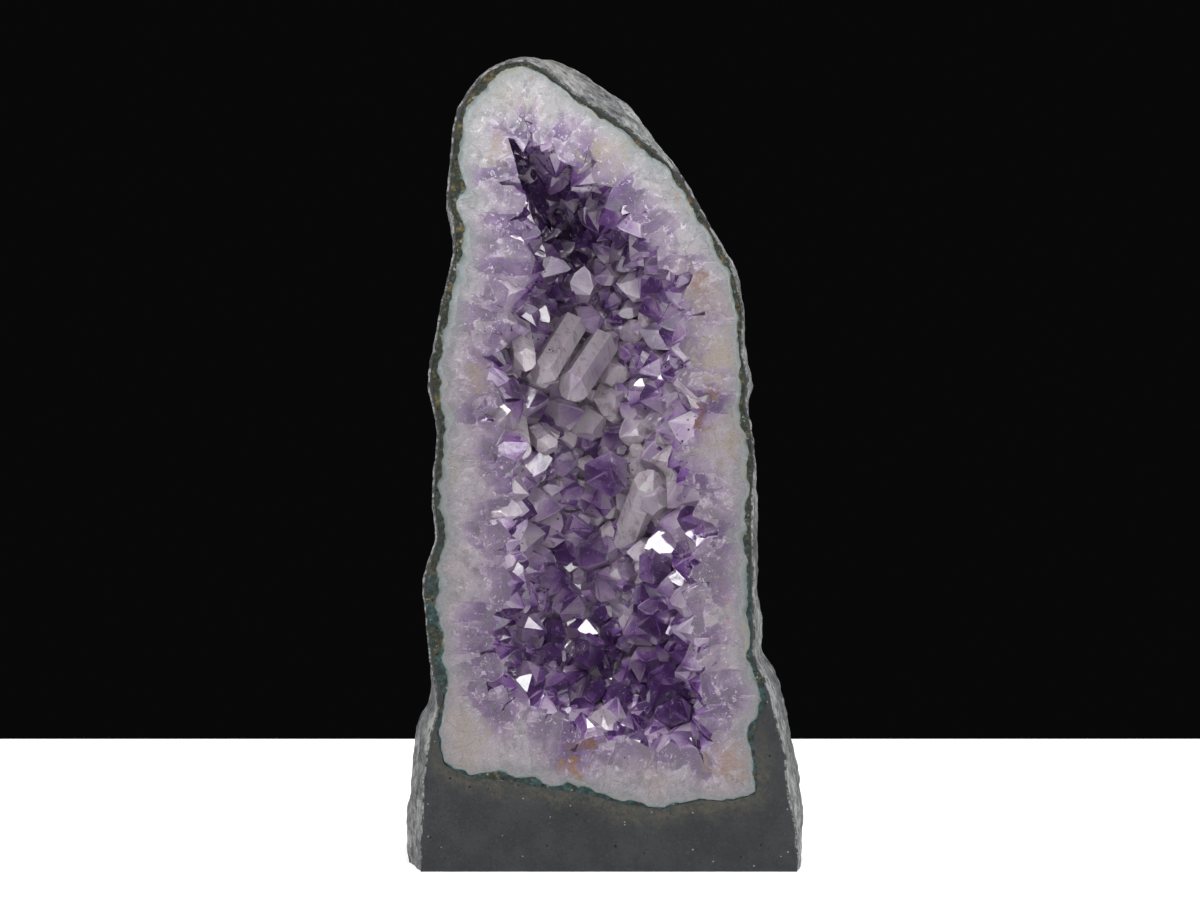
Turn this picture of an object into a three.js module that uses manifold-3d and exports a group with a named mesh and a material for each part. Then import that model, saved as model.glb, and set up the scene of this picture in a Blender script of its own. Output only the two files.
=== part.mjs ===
// Amethyst "cathedral" geode, standing on its sawn base. Millimetres, +Z up, front towards -Y.
//
// A basalt boulder was sawn down its front and flat underneath. Its cavity is lined, from the rock
// inwards, with green celadonite, pale banded chalcedony, and quartz whose crystals turn to amethyst.
// Every layer is a bowl: its edge lies in the sawn front, and its sections shrink towards a spine as
// they go back. The crystals are six-sided prisms with pointed ends, grown out of the quartz.

import * as THREE from 'three';
import { LoftGeometry } from 'three/addons/geometries/LoftGeometry.js';
import { ImprovedNoise } from 'three/addons/math/ImprovedNoise.js';
import { mergeVertices } from 'three/addons/utils/BufferGeometryUtils.js';
import Module from 'manifold-3d';

const wasm = await Module();
wasm.setup();

// Driving dimensions -----------------------------------------------------------------------------

const ROCK_DEPTH = 150;          // sawn front to the back of the boulder
const ROCK_SKIN = 2;             // rock left outside the lining where the cut comes close to it
const POCKET_DEPTH = 122;        // sawn front to the back of the pocket in the rock
const CELADONITE_BACK = 4;       // celadonite behind the lining, at its deepest
const CHALCEDONY_BACK = 6;       // chalcedony behind the lining, at its deepest
const CAVITY_DEPTH = 84;         // sawn front to the quartz between the crystals' roots
const GAP = 0.5;                 // clearance between one layer's solid and the next
const BULGE_DEPTH = 36;          // how far behind the front the boulder is widest
const LUMP_HEIGHT = 6;           // the boulder's lumps, and how far apart they are
const LUMP_SPACING = 38;
const SAW_OVERSHOOT = 5;         // how far a cutting shape runs on past the face it cuts
const WELD_DISTANCE = 1e-4;      // corners closer than this are one corner

const SPINE_X = -6;              // the spine of the cavity, seen from the front
const SPINE_BEND_Z = 290;        // above this height the spine leans to the left
const SPINE_LEAN = 0.36;
const SPINE_MIDDLE_Z = 200;
const SPINE_SHARE = 0.62;        // the spine's length, as a share of the cavity's height

// The sawn front, station by station: the edge of the lining (x, z), the mouth of the cavity (x, z),
// how far the boulder bulges past the front behind that station, and, on the base only, the edge of
// the rock (x, z). Elsewhere the rock is a thin skin outside the lining.

const LEFT_FOOT = [
  [-79, 51.5, -45.5, 81, 10, -89.5, 0],
  [-81, 60.5, -49.5, 89, 10, -90, 21.5],
  [-82, 70.5, -51.5, 98, 10, -88.5, 46],
  [-81, 79, -53, 106.5, 10, -86, 66.5],
  [-78, 86.5, -54.5, 115.5, 8, -81.5, 81],
];
const LEFT_SIDE = [
  [-81.5, 95, -55.5, 124, 5],
  [-84, 106.5, -53.5, 134, 3],
  [-86, 119.5, -49, 143, 2],
  [-87, 132.5, -45, 150.5, 2],
  [-87, 143.5, -44, 158.5, 2],
  [-83.5, 153.5, -47.5, 166.5, 2],
  [-80, 163.5, -49.5, 174, 2],
  [-82, 175.5, -45.5, 184, 2],
  [-82.5, 190.5, -43.5, 196, 2],
  [-80.5, 205, -48.5, 207.5, 2],
  [-79.5, 217.5, -53, 218.5, 2],
  [-82.5, 230.5, -57.5, 230, 2],
  [-85, 243, -57.5, 243, 2],
  [-82.5, 256.5, -52.5, 256.5, 2],
  [-79.5, 272, -50.5, 270, 2],
  [-76, 287, -47, 285, 2],
  [-72.5, 303, -40.5, 299.5, 2],
  [-72.5, 316.5, -38.5, 312.5, 2],
  [-75.5, 330, -44.5, 326, 2],
  [-74.5, 345.5, -47.5, 339, 2],
  [-73, 360.5, -46, 349.5, 3],
  [-69.5, 374, -43.5, 357.5, 3],
];
const CROWN = [
  [-63.5, 384, -39.5, 362, 4],
  [-56, 391.5, -34.5, 361.5, 5],
  [-48, 395.5, -28, 355.5, 6],
  [-40, 396.5, -21.5, 354, 8],
  [-32, 393, -14, 353.5, 11],
  [-22, 385, -6.5, 349.5, 14],
  [-9, 375.5, 0, 341.5, 14],
  [5, 366.5, 6.5, 331.5, 12],
  [18, 356.5, 12, 321.5, 9],
  [30, 346, 19, 311.5, 6],
];
const RIGHT_SIDE = [
  [39, 334.5, 27, 300.5, 4],
  [46, 321, 35, 291, 3],
  [53.5, 309, 40, 280, 3],
  [60.5, 296.5, 41.5, 268.5, 3],
  [64, 284, 41.5, 256.5, 3],
  [66.5, 270, 42.5, 245, 3],
  [65, 256.5, 44, 233, 3],
  [68, 239.5, 41.5, 220.5, 3],
  [66.5, 229.5, 40.5, 209.5, 3],
  [70, 215, 43, 197.5, 4],
  [71.5, 197.5, 47.5, 185, 5],
  [70, 178, 48.5, 172, 5],
  [70, 158.5, 46, 158.5, 5],
  [70.5, 138, 42.5, 144, 6],
  [71, 119.5, 42.5, 128, 8],
  [71, 105.5, 45, 112, 8],
];
const RIGHT_FOOT = [
  [77.5, 92, 49, 98.5, 8, 80.5, 89],
  [78.5, 82, 53, 87, 9, 83, 73.5],
  [74, 73.5, 55.5, 78, 9, 87, 59.5],
  [72.5, 63, 56, 69.5, 9, 90, 40],
  [74.5, 50.5, 54, 62.5, 7, 93.5, 20.5],
  [74.5, 38, 48.5, 57.5, 4, 95, 0],
];
const FOOT = [
  [60.5, 34.5, 37.5, 57, 0, 68.5, 0],
  [44, 35, 24, 60, 0, 42.5, 0],
  [28, 30.5, 10.5, 62.5, 0, 17, 0],
  [10, 33, -2, 63.5, 0, -7.5, 0],
  [-9, 38, -12.5, 65.5, 0, -29.5, 0],
  [-28, 41, -22.5, 69.5, 0, -49, 0],
  [-47.5, 44.5, -31.5, 74.5, 0, -67, 0],
  [-66, 46.5, -39, 78.5, 0, -81, 0],
];
const STATIONS = [LEFT_FOOT, LEFT_SIDE, CROWN, RIGHT_SIDE, RIGHT_FOOT, FOOT].flat();

// How thick the two thin layers are at the front, at a few of the stations, and in between by
// straight interpolation: [station, celadonite, chalcedony].
const LAYER_STOPS = [
  [0, 3, 3], [4, 5, 5], [6, 7.5, 4], [9, 5, 6], [11, 4, 5], [13, 3, 7], [17, 6.5, 6], [19, 3, 8],
  [22, 5, 6], [23, 9.5, 5], [25, 4, 6], [28, 3.5, 6], [32, 3.5, 4], [37, 3, 5], [41, 3.5, 6],
  [46, 4, 6], [51, 3, 6], [56, 4, 4], [59, 3, 4], [62, 5, 4], [65, 6.5, 4], [67, 3, 3],
];

// The angles at which a bowl is cut into sections, from its edge (0) towards its spine (90).
const ROCK_ANGLES = [0, 4, 14, 29, 45, 61, 75, 86];
const LAYER_ANGLES = [0, 28, 56, 82];
const WALL_ANGLES = [0, 21, 42, 63, 82];
const ROCK_FULLNESS = 0.65;      // under 1 makes a bowl fuller than an ellipse
const POCKET_FULLNESS = 0.8;

// Crystals: rings round the cavity wall, by angle, and the large ones that stand out of them.
const CRYSTAL_SEED = 71;
const CRYSTAL_RING_ANGLES = [9, 32, 55, 78];
const CRYSTAL_SCATTER = 3;       // how many degrees a crystal may stand off its ring
const CRYSTAL_SPACING = 35;
const CRYSTAL_RADIUS = [10, 14];
const CRYSTAL_STAND = [3, 10];   // how far a prism stands out of the wall before its point
const CRYSTAL_ROOT = 7;          // how deep it is rooted in the quartz
const CRYSTAL_LEAN = 0.35;       // how far a crystal may lean off the wall's direction
const ROOT_TAPER = 0.8;          // radius of a prism at its root, over its radius at the point
const POINT_SLOPE = 1.1;         // height of the pointed end, over the prism's radius
const POINT_SHIFT = 0.25;        // how far the point may sit off the middle, over the radius
const LARGE_POINT_SHIFT = 0.15;
const LARGE_PRISM_TURN = 0.9;    // how far each large prism is turned from the one before, in radians
const WALL_STEP = { stations: 2, degrees: 4 };   // steps over which the wall's direction is measured

// Large single prisms: root (x, depth, z), the way each points, its radius and length.
const LARGE_PRISMS = [
  [-38, 70, 250, 0.25, -1, 0.15, 8, 42],
  [-20, 88, 240, 0.05, -1, 0.45, 9, 48],
  [-10, 90, 235, 0.35, -1, 0.5, 8, 48],
  [-52, 50, 206, 0.8, -1, 0.2, 8, 36],
  [-2, 88, 195, 0.1, -1, -0.1, 10, 36],
  [18, 86, 190, -0.2, -1, -0.6, 8, 46],
  [28, 78, 146, -0.1, -1, 0.1, 11, 36],
  [32, 76, 120, -0.25, -1, 0.1, 12, 36],
  [38, 66, 82, -0.3, -1, 0.2, 12, 38],
  [42, 56, 66, -0.4, -1, 0.5, 9, 36],
  [-10, 86, 98, 0.1, -1, 0.3, 10, 34],
];

// Sections ---------------------------------------------------------------------------------------

const COUNT = STATIONS.length;
const radians = THREE.MathUtils.degToRad;

function spineAt(z) {
  const height = SPINE_MIDDLE_Z + (z - SPINE_MIDDLE_Z) * SPINE_SHARE;
  const lean = Math.max(0, height - SPINE_BEND_Z) * SPINE_LEAN;
  return new THREE.Vector2(SPINE_X - lean, height);
}

// The outward direction of a closed outline at one of its points.
function outwardAt(outline, index) {
  const before = outline[(index + COUNT - 1) % COUNT];
  const after = outline[(index + 1) % COUNT];
  return new THREE.Vector2(before.y - after.y, after.x - before.x).normalize();
}

const liningEdge = STATIONS.map(([x, z]) => new THREE.Vector2(x, z));
const mouthEdge = STATIONS.map(([, , x, z]) => new THREE.Vector2(x, z));
const rockEdge = STATIONS.map(([, , , , , x, z], index) => {
  if (x !== undefined) return new THREE.Vector2(x, z);
  return liningEdge[index].clone().addScaledVector(outwardAt(liningEdge, index), ROCK_SKIN);
});

function layerThickness(index, layer) {
  const next = LAYER_STOPS.findIndex(([station]) => station > index);
  const from = LAYER_STOPS[next - 1];
  const to = LAYER_STOPS[next];
  const share = (index - from[0]) / (to[0] - from[0]);
  return THREE.MathUtils.lerp(from[layer], to[layer], share);
}

// An edge moved from the lining's edge towards the mouth by a distance for each station.
function insetEdge(distanceAt) {
  return liningEdge.map((point, index) => {
    const inwards = mouthEdge[index].clone().sub(point).normalize();
    return point.clone().addScaledVector(inwards, distanceAt(index));
  });
}

const celadoniteAt = (index) => layerThickness(index, 1);
const bothThinLayersAt = (index) => layerThickness(index, 1) + layerThickness(index, 2);

// One section of a bowl: its edge drawn in towards the spine, at its depth behind the front.
function bowlSection(edge, depth, degrees) {
  const angle = radians(degrees);
  const width = Math.cos(angle) ** POCKET_FULLNESS;
  return edge.map((point) => {
    const inner = spineAt(point.y).lerp(point, width);
    return new THREE.Vector3(inner.x, depth * Math.sin(angle), inner.y);
  });
}

function bowlSections(edge, depth, angles = LAYER_ANGLES) {
  return angles.map((degrees) => bowlSection(edge, depth, degrees));
}

const noise = new ImprovedNoise();

// How far the boulder's lumps stand out at a point, in millimetres.
function lumpAt(x, y, z) {
  return LUMP_HEIGHT * noise.noise(x / LUMP_SPACING, y / LUMP_SPACING, z / LUMP_SPACING);
}

// One section of the boulder. Its sides run straight down to the sawn base, which stays flat.
function rockSection(degrees) {
  const angle = radians(degrees);
  const depth = ROCK_DEPTH * Math.sin(angle);
  const width = Math.cos(angle) ** ROCK_FULLNESS;
  const swell = Math.min(1, depth / BULGE_DEPTH);
  return rockEdge.map((point, index) => {
    const bulge = STATIONS[index][4] + lumpAt(point.x, depth, point.y);
    const outer = point.clone().addScaledVector(outwardAt(rockEdge, index), swell * bulge);
    const spine = spineAt(outer.y);
    spine.y = Math.max(spine.y, 0);
    if (outer.y < SPINE_MIDDLE_Z) spine.y = outer.y;
    const inner = spine.lerp(outer, width);
    const height = point.y === 0 ? 0 : Math.max(0, inner.y);
    return new THREE.Vector3(inner.x, depth, height);
  });
}

// Solids -----------------------------------------------------------------------------------------

// The same surface with each shared corner stored once, and no triangle that has shrunk to a line.
function weld(geometry) {
  const bare = new THREE.BufferGeometry();
  bare.setAttribute('position', geometry.attributes.position);
  bare.setIndex(geometry.index);
  const welded = mergeVertices(bare, WELD_DISTANCE);
  const corners = welded.index.array;
  const kept = [];
  for (let i = 0; i < corners.length; i += 3) {
    const [a, b, c] = corners.subarray(i, i + 3);
    if (a !== b && b !== c && c !== a) kept.push(a, b, c);
  }
  welded.setIndex(kept);
  return welded;
}

function toSolid(geometry) {
  const welded = weld(geometry);
  const vertProperties = new Float32Array(welded.attributes.position.array);
  const triVerts = new Uint32Array(welded.index.array);
  return new wasm.Manifold(new wasm.Mesh({ numProp: 3, vertProperties, triVerts }));
}

function toGeometry(solid) {
  const { numProp, vertProperties, triVerts } = solid.getMesh();
  const geometry = new THREE.BufferGeometry();
  geometry.setAttribute('position', new THREE.BufferAttribute(vertProperties, numProp));
  geometry.setIndex(new THREE.BufferAttribute(triVerts, 1));
  return geometry;
}

// A bowl filled up to the saw cut, from its sections listed from the front backwards.
function filledBowl(sections) {
  return toSolid(new LoftGeometry(sections, { capStart: true, capEnd: true }));
}

// The layer between an outer bowl and an inner one. The inner one is carried on past the saw cut.
function layerBetween(outer, inner) {
  const ahead = inner[0].map((point) => new THREE.Vector3(point.x, -SAW_OVERSHOOT, point.z));
  return filledBowl(outer).subtract(filledBowl([ahead, ...inner]));
}

// A small repeatable random generator, so every build grows the same crystals.
function seededRandom(seed) {
  const [multiplier, increment, range] = [1664525, 1013904223, 2 ** 32];
  let state = seed;
  return () => {
    state = (state * multiplier + increment) % range;
    return state / range;
  };
}

// A six-sided prism on its root. Its point is shifted sideways by a share of its radius.
function crystalGeometry(radius, length, shift) {
  const point = radius * POINT_SLOPE;
  const profile = [
    new THREE.Vector2(0, 0),
    new THREE.Vector2(radius * ROOT_TAPER, 0),
    new THREE.Vector2(radius, length - point),
    new THREE.Vector2(0, length),
  ];
  const geometry = weld(new THREE.LatheGeometry(profile, 6));
  const positions = geometry.attributes.position;
  for (let i = 0; i < positions.count; i += 1) {
    if (positions.getY(i) > length - point / 2) positions.setX(i, shift * radius);
  }
  return geometry;
}

function placedCrystal(root, direction, turn, geometry) {
  const upright = new THREE.Quaternion().setFromAxisAngle(new THREE.Vector3(0, 1, 0), turn);
  const aim = new THREE.Quaternion().setFromUnitVectors(new THREE.Vector3(0, 1, 0), direction);
  const matrix = new THREE.Matrix4().compose(root, aim.multiply(upright), new THREE.Vector3(1, 1, 1));
  return toSolid(geometry.applyMatrix4(matrix));
}

// A point on the cavity wall and the wall's direction into the cavity, at a share of the way round.
function wallPoint(around, degrees) {
  const step = WALL_STEP.stations / COUNT;
  const at = (share, angle) => {
    const ring = bowlSection(mouthEdge, CAVITY_DEPTH, angle);
    const place = ((share % 1) + 1) % 1 * COUNT;
    const index = Math.floor(place);
    return ring[index].clone().lerp(ring[(index + 1) % COUNT], place - index);
  };
  const point = at(around, degrees);
  const along = at(around + step, degrees).sub(at(around - step, degrees));
  const deeper = at(around, degrees + WALL_STEP.degrees);
  const back = deeper.sub(at(around, degrees - WALL_STEP.degrees));
  return { point, inwards: back.cross(along).normalize() };
}

function ringLength(degrees) {
  const ring = bowlSection(mouthEdge, CAVITY_DEPTH, degrees);
  return ring.reduce((sum, point, index) => sum + point.distanceTo(ring[(index + 1) % COUNT]), 0);
}

function wallCrystals() {
  const random = seededRandom(CRYSTAL_SEED);
  const between = ([low, high]) => THREE.MathUtils.lerp(low, high, random());
  const upTo = (reach) => between([-reach, reach]);
  const crystals = [];
  for (const degrees of CRYSTAL_RING_ANGLES) {
    const count = Math.round(ringLength(degrees) / CRYSTAL_SPACING);
    for (let i = 0; i < count; i += 1) {
      const around = (i + 0.5 * random()) / count;
      const { point, inwards } = wallPoint(around, degrees + upTo(CRYSTAL_SCATTER));
      const lean = [upTo(CRYSTAL_LEAN), upTo(CRYSTAL_LEAN), upTo(CRYSTAL_LEAN)];
      const direction = inwards.clone().add(new THREE.Vector3(...lean)).normalize();
      const radius = between(CRYSTAL_RADIUS);
      const length = CRYSTAL_ROOT + between(CRYSTAL_STAND) + radius * POINT_SLOPE;
      const root = point.clone().addScaledVector(direction, -CRYSTAL_ROOT);
      const geometry = crystalGeometry(radius, length, upTo(POINT_SHIFT));
      crystals.push(placedCrystal(root, direction, random() * Math.PI, geometry));
    }
  }
  return crystals;
}

function largePrisms() {
  return LARGE_PRISMS.map(([x, depth, z, dx, dy, dz, radius, length], index) => {
    const direction = new THREE.Vector3(dx, dy, dz).normalize();
    const root = new THREE.Vector3(x, depth, z);
    const geometry = crystalGeometry(radius, length, LARGE_POINT_SHIFT);
    return placedCrystal(root, direction, index * LARGE_PRISM_TURN, geometry);
  });
}

// Quartz lining and crystals in one solid. What would stand out of the saw cut is cut off.
function druseGeometry() {
  const edge = insetEdge((index) => bothThinLayersAt(index) + GAP);
  const outer = bowlSections(edge, POCKET_DEPTH - CELADONITE_BACK - CHALCEDONY_BACK - GAP);
  const lining = layerBetween(outer, bowlSections(mouthEdge, CAVITY_DEPTH, WALL_ANGLES));
  const crystals = [...wallCrystals(), ...largePrisms()];
  const grown = crystals.reduce((solid, crystal) => solid.add(crystal), lining);
  return toGeometry(grown.intersect(filledBowl(outer)));
}

function celadoniteGeometry() {
  const outer = bowlSections(insetEdge(() => GAP), POCKET_DEPTH - GAP);
  const inner = bowlSections(insetEdge(celadoniteAt), POCKET_DEPTH - CELADONITE_BACK);
  return toGeometry(layerBetween(outer, inner));
}

function chalcedonyGeometry() {
  const outer = insetEdge((index) => celadoniteAt(index) + GAP);
  const outerDepth = POCKET_DEPTH - CELADONITE_BACK - GAP;
  const innerDepth = POCKET_DEPTH - CELADONITE_BACK - CHALCEDONY_BACK;
  const inner = bowlSections(insetEdge(bothThinLayersAt), innerDepth);
  return toGeometry(layerBetween(bowlSections(outer, outerDepth), inner));
}

function basaltGeometry() {
  const outer = ROCK_ANGLES.map(rockSection);
  return toGeometry(layerBetween(outer, bowlSections(liningEdge, POCKET_DEPTH)));
}

// The object -------------------------------------------------------------------------------------

function mesh(name, geometry, color, roughness) {
  const material = new THREE.MeshStandardMaterial({ color, roughness, metalness: 0 });
  const piece = new THREE.Mesh(geometry, material);
  piece.name = name;
  return piece;
}

const geode = new THREE.Group();
geode.add(
  mesh('basalt_matrix', basaltGeometry(), '#444649', 0.8),
  mesh('celadonite_rind', celadoniteGeometry(), '#40554c', 0.7),
  mesh('chalcedony_band', chalcedonyGeometry(), '#b4c8cd', 0.35),
  mesh('amethyst_druse', druseGeometry(), '#7c5a9c', 0.15),
);

// The origin is under the middle of the boulder, on the surface it stands on.
const box = new THREE.Box3().setFromObject(geode);
const middle = box.getCenter(new THREE.Vector3());
geode.position.set(-middle.x, -middle.y, -box.min.z);

export default geode;
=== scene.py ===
"""An amethyst geode sawn open down its front, standing on its sawn base.

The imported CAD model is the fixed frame. Each of its four nodes gets a finely
modelled piece in its own place: the basalt around the geode, the celadonite
rind, the chalcedony band and the amethyst druse with its bed of crystals.
"""

import logging
import math
import random
from dataclasses import dataclass, field
from enum import Enum

import bmesh
import bpy
import numpy as np
from mathutils import Matrix, Vector
from mathutils import noise as smooth_noise
from mathutils.kdtree import KDTree


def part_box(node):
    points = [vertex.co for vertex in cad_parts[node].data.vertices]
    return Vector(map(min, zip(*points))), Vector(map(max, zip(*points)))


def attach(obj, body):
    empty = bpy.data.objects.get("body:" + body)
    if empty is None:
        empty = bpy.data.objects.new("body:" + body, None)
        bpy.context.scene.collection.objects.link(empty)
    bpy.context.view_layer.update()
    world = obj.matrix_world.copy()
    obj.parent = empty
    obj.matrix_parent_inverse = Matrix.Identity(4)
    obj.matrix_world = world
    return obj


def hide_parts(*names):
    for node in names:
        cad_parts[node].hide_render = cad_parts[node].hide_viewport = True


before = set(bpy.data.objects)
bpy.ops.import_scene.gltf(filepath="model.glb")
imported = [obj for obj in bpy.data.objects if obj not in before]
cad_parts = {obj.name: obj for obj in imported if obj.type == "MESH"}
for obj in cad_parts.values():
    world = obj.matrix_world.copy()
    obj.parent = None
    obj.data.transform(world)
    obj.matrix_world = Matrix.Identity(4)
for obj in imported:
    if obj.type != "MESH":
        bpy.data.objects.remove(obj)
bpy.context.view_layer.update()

LOG = logging.getLogger("geode")

MM = 0.001
# The y of the saw cut that opens the geode.
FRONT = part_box("basalt_matrix")[0].y
# Points closer than this are one point.
WELD = 1e-6
# Points closer than this to a cut lie in it.
ON_FACE = 2e-5
# How many points each line between two layers has.
SAMPLES_ROUND = 1400
# A face that looks this squarely along an axis is part of a saw cut.
SQUARE_ON = 0.99

Colour = tuple[float, float, float, float]


class Body(Enum):
    """The CAD body that every piece rides on."""

    GEODE = "root"


class Slot(Enum):
    """The material slots, by name."""

    BASALT = "basalt"
    CELADONITE = "celadonite"
    CHALCEDONY = "chalcedony"
    AMETHYST = "amethyst"


class Facing(Enum):
    """The finishes of a druse face, in the order of its material slots."""

    SAWN = 0
    GROWN = 1
    CLEAR = 2


# --------------------------------------------------------------------------
# Lines and bowls
# --------------------------------------------------------------------------


def sawn_loops(mesh: bpy.types.Mesh) -> list[np.ndarray]:
    """Find the closed edges of a mesh's sawn front.

    Args:
        mesh: a mesh with faces that lie in its lowest-y plane.

    Returns:
        One (n, 2) array of x and z for each closed edge, the widest first.
    """
    bm = bmesh.new()
    bm.from_mesh(mesh)
    bmesh.ops.remove_doubles(bm, verts=bm.verts, dist=WELD)
    bm.verts.index_update()
    bm.verts.ensure_lookup_table()
    front = min(v.co.y for v in bm.verts)
    sawn = [f for f in bm.faces if all(v.co.y - front < ON_FACE for v in f.verts)]
    faces = set(sawn)
    following: dict[int, list[int]] = {}
    for face in sawn:
        for loop in face.loops:
            twin = loop.link_loop_radial_next
            if twin is loop or twin.face not in faces:
                following.setdefault(loop.vert.index, []).append(loop.link_loop_next.vert.index)
    loops = []
    while following:
        here = next(iter(following))
        chain = []
        while here in following:
            chain.append(here)
            ahead = following[here].pop()
            if not following[here]:
                del following[here]
            here = ahead
        loops.append(np.array([[bm.verts[i].co.x, bm.verts[i].co.z] for i in chain]))
    bm.free()
    return sorted(loops, key=lambda points: -np.ptp(points[:, 1]))


def evenly(points: np.ndarray, count: int) -> np.ndarray:
    """Space points evenly along a closed line.

    Args:
        points: (n, 2) corners of the line.
        count: how many points to return.

    Returns:
        (count, 2) points at equal steps along the line.
    """
    closed = np.vstack([points, points[:1]])
    along = np.concatenate([[0.0], np.cumsum(np.linalg.norm(np.diff(closed, axis=0), axis=1))])
    steps = np.linspace(0.0, along[-1], count, endpoint=False)
    return np.stack([np.interp(steps, along, closed[:, k]) for k in range(2)], axis=1)


def softened(values: np.ndarray, reach: float) -> np.ndarray:
    """Smooth values that run round a closed line.

    Args:
        values: (n,) or (n, k) values at equal steps.
        reach: the smoothing width, in steps.

    Returns:
        The smoothed values, in the same shape.
    """
    spectrum = np.fft.rfft(values, axis=0)
    pace = np.arange(len(spectrum)) * 2 * math.pi / len(values)
    falloff = np.exp(-0.5 * (pace * reach) ** 2)
    if values.ndim > 1:
        falloff = falloff[:, None]
    return np.fft.irfft(spectrum * falloff, n=len(values), axis=0)


def crossings(origins: np.ndarray, directions: np.ndarray, loops: list[np.ndarray]) -> np.ndarray:
    """Measure from each origin along its direction to the nearest of some closed lines.

    Args:
        origins: (n, 2) starting points.
        directions: (n, 2) unit directions.
        loops: closed lines as (m, 2) arrays.

    Returns:
        (n,) distances, filled in from both sides where a direction meets no line.
    """
    nearest = np.full(len(origins), np.inf)
    for loop in loops:
        edge = np.roll(loop, -1, axis=0) - loop
        gap = loop[None] - origins[:, None]
        turn = directions[:, None, 0] * edge[None, :, 1] - directions[:, None, 1] * edge[None, :, 0]
        turn = np.where(np.abs(turn) < 1e-12, 1e-12, turn)
        reach = (gap[..., 0] * edge[None, :, 1] - gap[..., 1] * edge[None, :, 0]) / turn
        share = (gap[..., 0] * directions[:, None, 1] - gap[..., 1] * directions[:, None, 0]) / turn
        hit = (share >= 0) & (share <= 1) & (reach > -0.5 * MM)
        nearest = np.minimum(nearest, np.where(hit, reach, np.inf).min(axis=1))
    found = np.isfinite(nearest)
    steps = np.arange(len(nearest))
    return np.interp(steps, steps[found], nearest[found], period=len(nearest))


def distance_to(points: np.ndarray, line: np.ndarray) -> np.ndarray:
    """Measure from points to a line of closely spaced points.

    Args:
        points: (n, 2) points.
        line: (m, 2) points of the line.

    Returns:
        (n,) distances.
    """
    tree = KDTree(len(line))
    for index, (x, z) in enumerate(line):
        tree.insert((x, 0.0, z), index)
    tree.balance()
    return np.array([tree.find((x, 0.0, z))[2] for x, z in points])


@dataclass(frozen=True)
class Spine:
    """The line that the bowls close on: upright, and leaning left at the crown."""

    x: float = -5.5 * MM
    bend_z: float = 290 * MM
    lean: float = 0.36
    middle_z: float = 200 * MM
    share: float = 0.62

    def at(self, z: np.ndarray) -> np.ndarray:
        """Return the spine's (n, 2) points x and z for heights z on a bowl's edge."""
        height = self.middle_z + (z - self.middle_z) * self.share
        return np.stack([self.x - np.maximum(0.0, height - self.bend_z) * self.lean, height], axis=1)


SPINE = Spine()


@dataclass
class Bowl:
    """A bowl with its rim in the sawn front and its bottom at the spine."""

    edge: np.ndarray
    depth: float
    fullness: float = 0.8
    bottom_angle: float = 86.0

    def ring(self, angle: float) -> np.ndarray:
        """Return the (n, 3) ring of the bowl at an angle in degrees, 0 at the rim."""
        turn = math.radians(angle)
        middle = SPINE.at(self.edge[:, 1])
        flat = middle + (self.edge - middle) * math.cos(turn) ** self.fullness
        deep = np.full(len(flat), FRONT + self.depth * math.sin(turn))
        return np.stack([flat[:, 0], deep, flat[:, 1]], axis=1)

    def lip(self, forward: float) -> np.ndarray:
        """Return the (n, 3) rim carried forward of the saw cut."""
        ring = self.ring(0.0)
        ring[:, 1] -= forward
        return ring

    def rings(self, rows: int, forward: float = 0.0) -> list[np.ndarray]:
        """List the rings from the front to the bottom.

        Args:
            rows: how many steps the wall has.
            forward: how far the rim is carried in front of the saw cut.

        Returns:
            The rings, front first.
        """
        rings = [self.ring(a) for a in np.linspace(0.0, self.bottom_angle, rows + 1)]
        return [self.lip(forward)] + rings if forward > 0 else rings


def mesh_from_rings(
    name: str, rings: list[np.ndarray], front_cap: bool = True, back_cap: bool = True
) -> bpy.types.Mesh:
    """Join rings of equal counts into a skin, and close its ends with flat caps.

    Args:
        name: the mesh's name.
        rings: (n, 3) rings in order.
        front_cap: whether the first ring is closed.
        back_cap: whether the last ring is closed.

    Returns:
        The mesh, its faces pointing outwards where it is closed.
    """
    count = len(rings[0])
    bm = bmesh.new()
    verts = [[bm.verts.new(p) for p in ring] for ring in rings]
    for near, far in zip(verts, verts[1:]):
        for i in range(count):
            j = (i + 1) % count
            bm.faces.new((near[i], near[j], far[j], far[i]))
    caps = []
    if front_cap:
        caps.append(bm.faces.new(verts[0][::-1]))
    if back_cap:
        caps.append(bm.faces.new(verts[-1]))
    bmesh.ops.triangulate(bm, faces=caps, ngon_method="EAR_CLIP")
    if front_cap and back_cap and bm.calc_volume(signed=True) < 0:
        bmesh.ops.reverse_faces(bm, faces=bm.faces)
    mesh = bpy.data.meshes.new(name)
    bm.to_mesh(mesh)
    bm.free()
    return mesh


def made_object(name: str, mesh: bpy.types.Mesh) -> bpy.types.Object:
    """Put a mesh into the scene as an object of that name."""
    piece = bpy.data.objects.new(name, mesh)
    bpy.context.scene.collection.objects.link(piece)
    return piece


def discard(*pieces: bpy.types.Object) -> None:
    """Remove helper objects and their meshes."""
    for piece in pieces:
        mesh = piece.data
        bpy.data.objects.remove(piece)
        if mesh is not None and mesh.users == 0:
            bpy.data.meshes.remove(mesh)


def settled(piece: bpy.types.Object) -> bpy.types.Object:
    """Apply an object's modifiers, so that it holds a plain mesh."""
    graph = bpy.context.evaluated_depsgraph_get()
    mesh = bpy.data.meshes.new_from_object(piece.evaluated_get(graph), depsgraph=graph)
    piece.modifiers.clear()
    worn = piece.data
    piece.data = mesh
    bpy.data.meshes.remove(worn)
    return piece


class Cut(Enum):
    """How one solid is joined with others."""

    UNION = "UNION"
    DIFFERENCE = "DIFFERENCE"
    INTERSECT = "INTERSECT"


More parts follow.
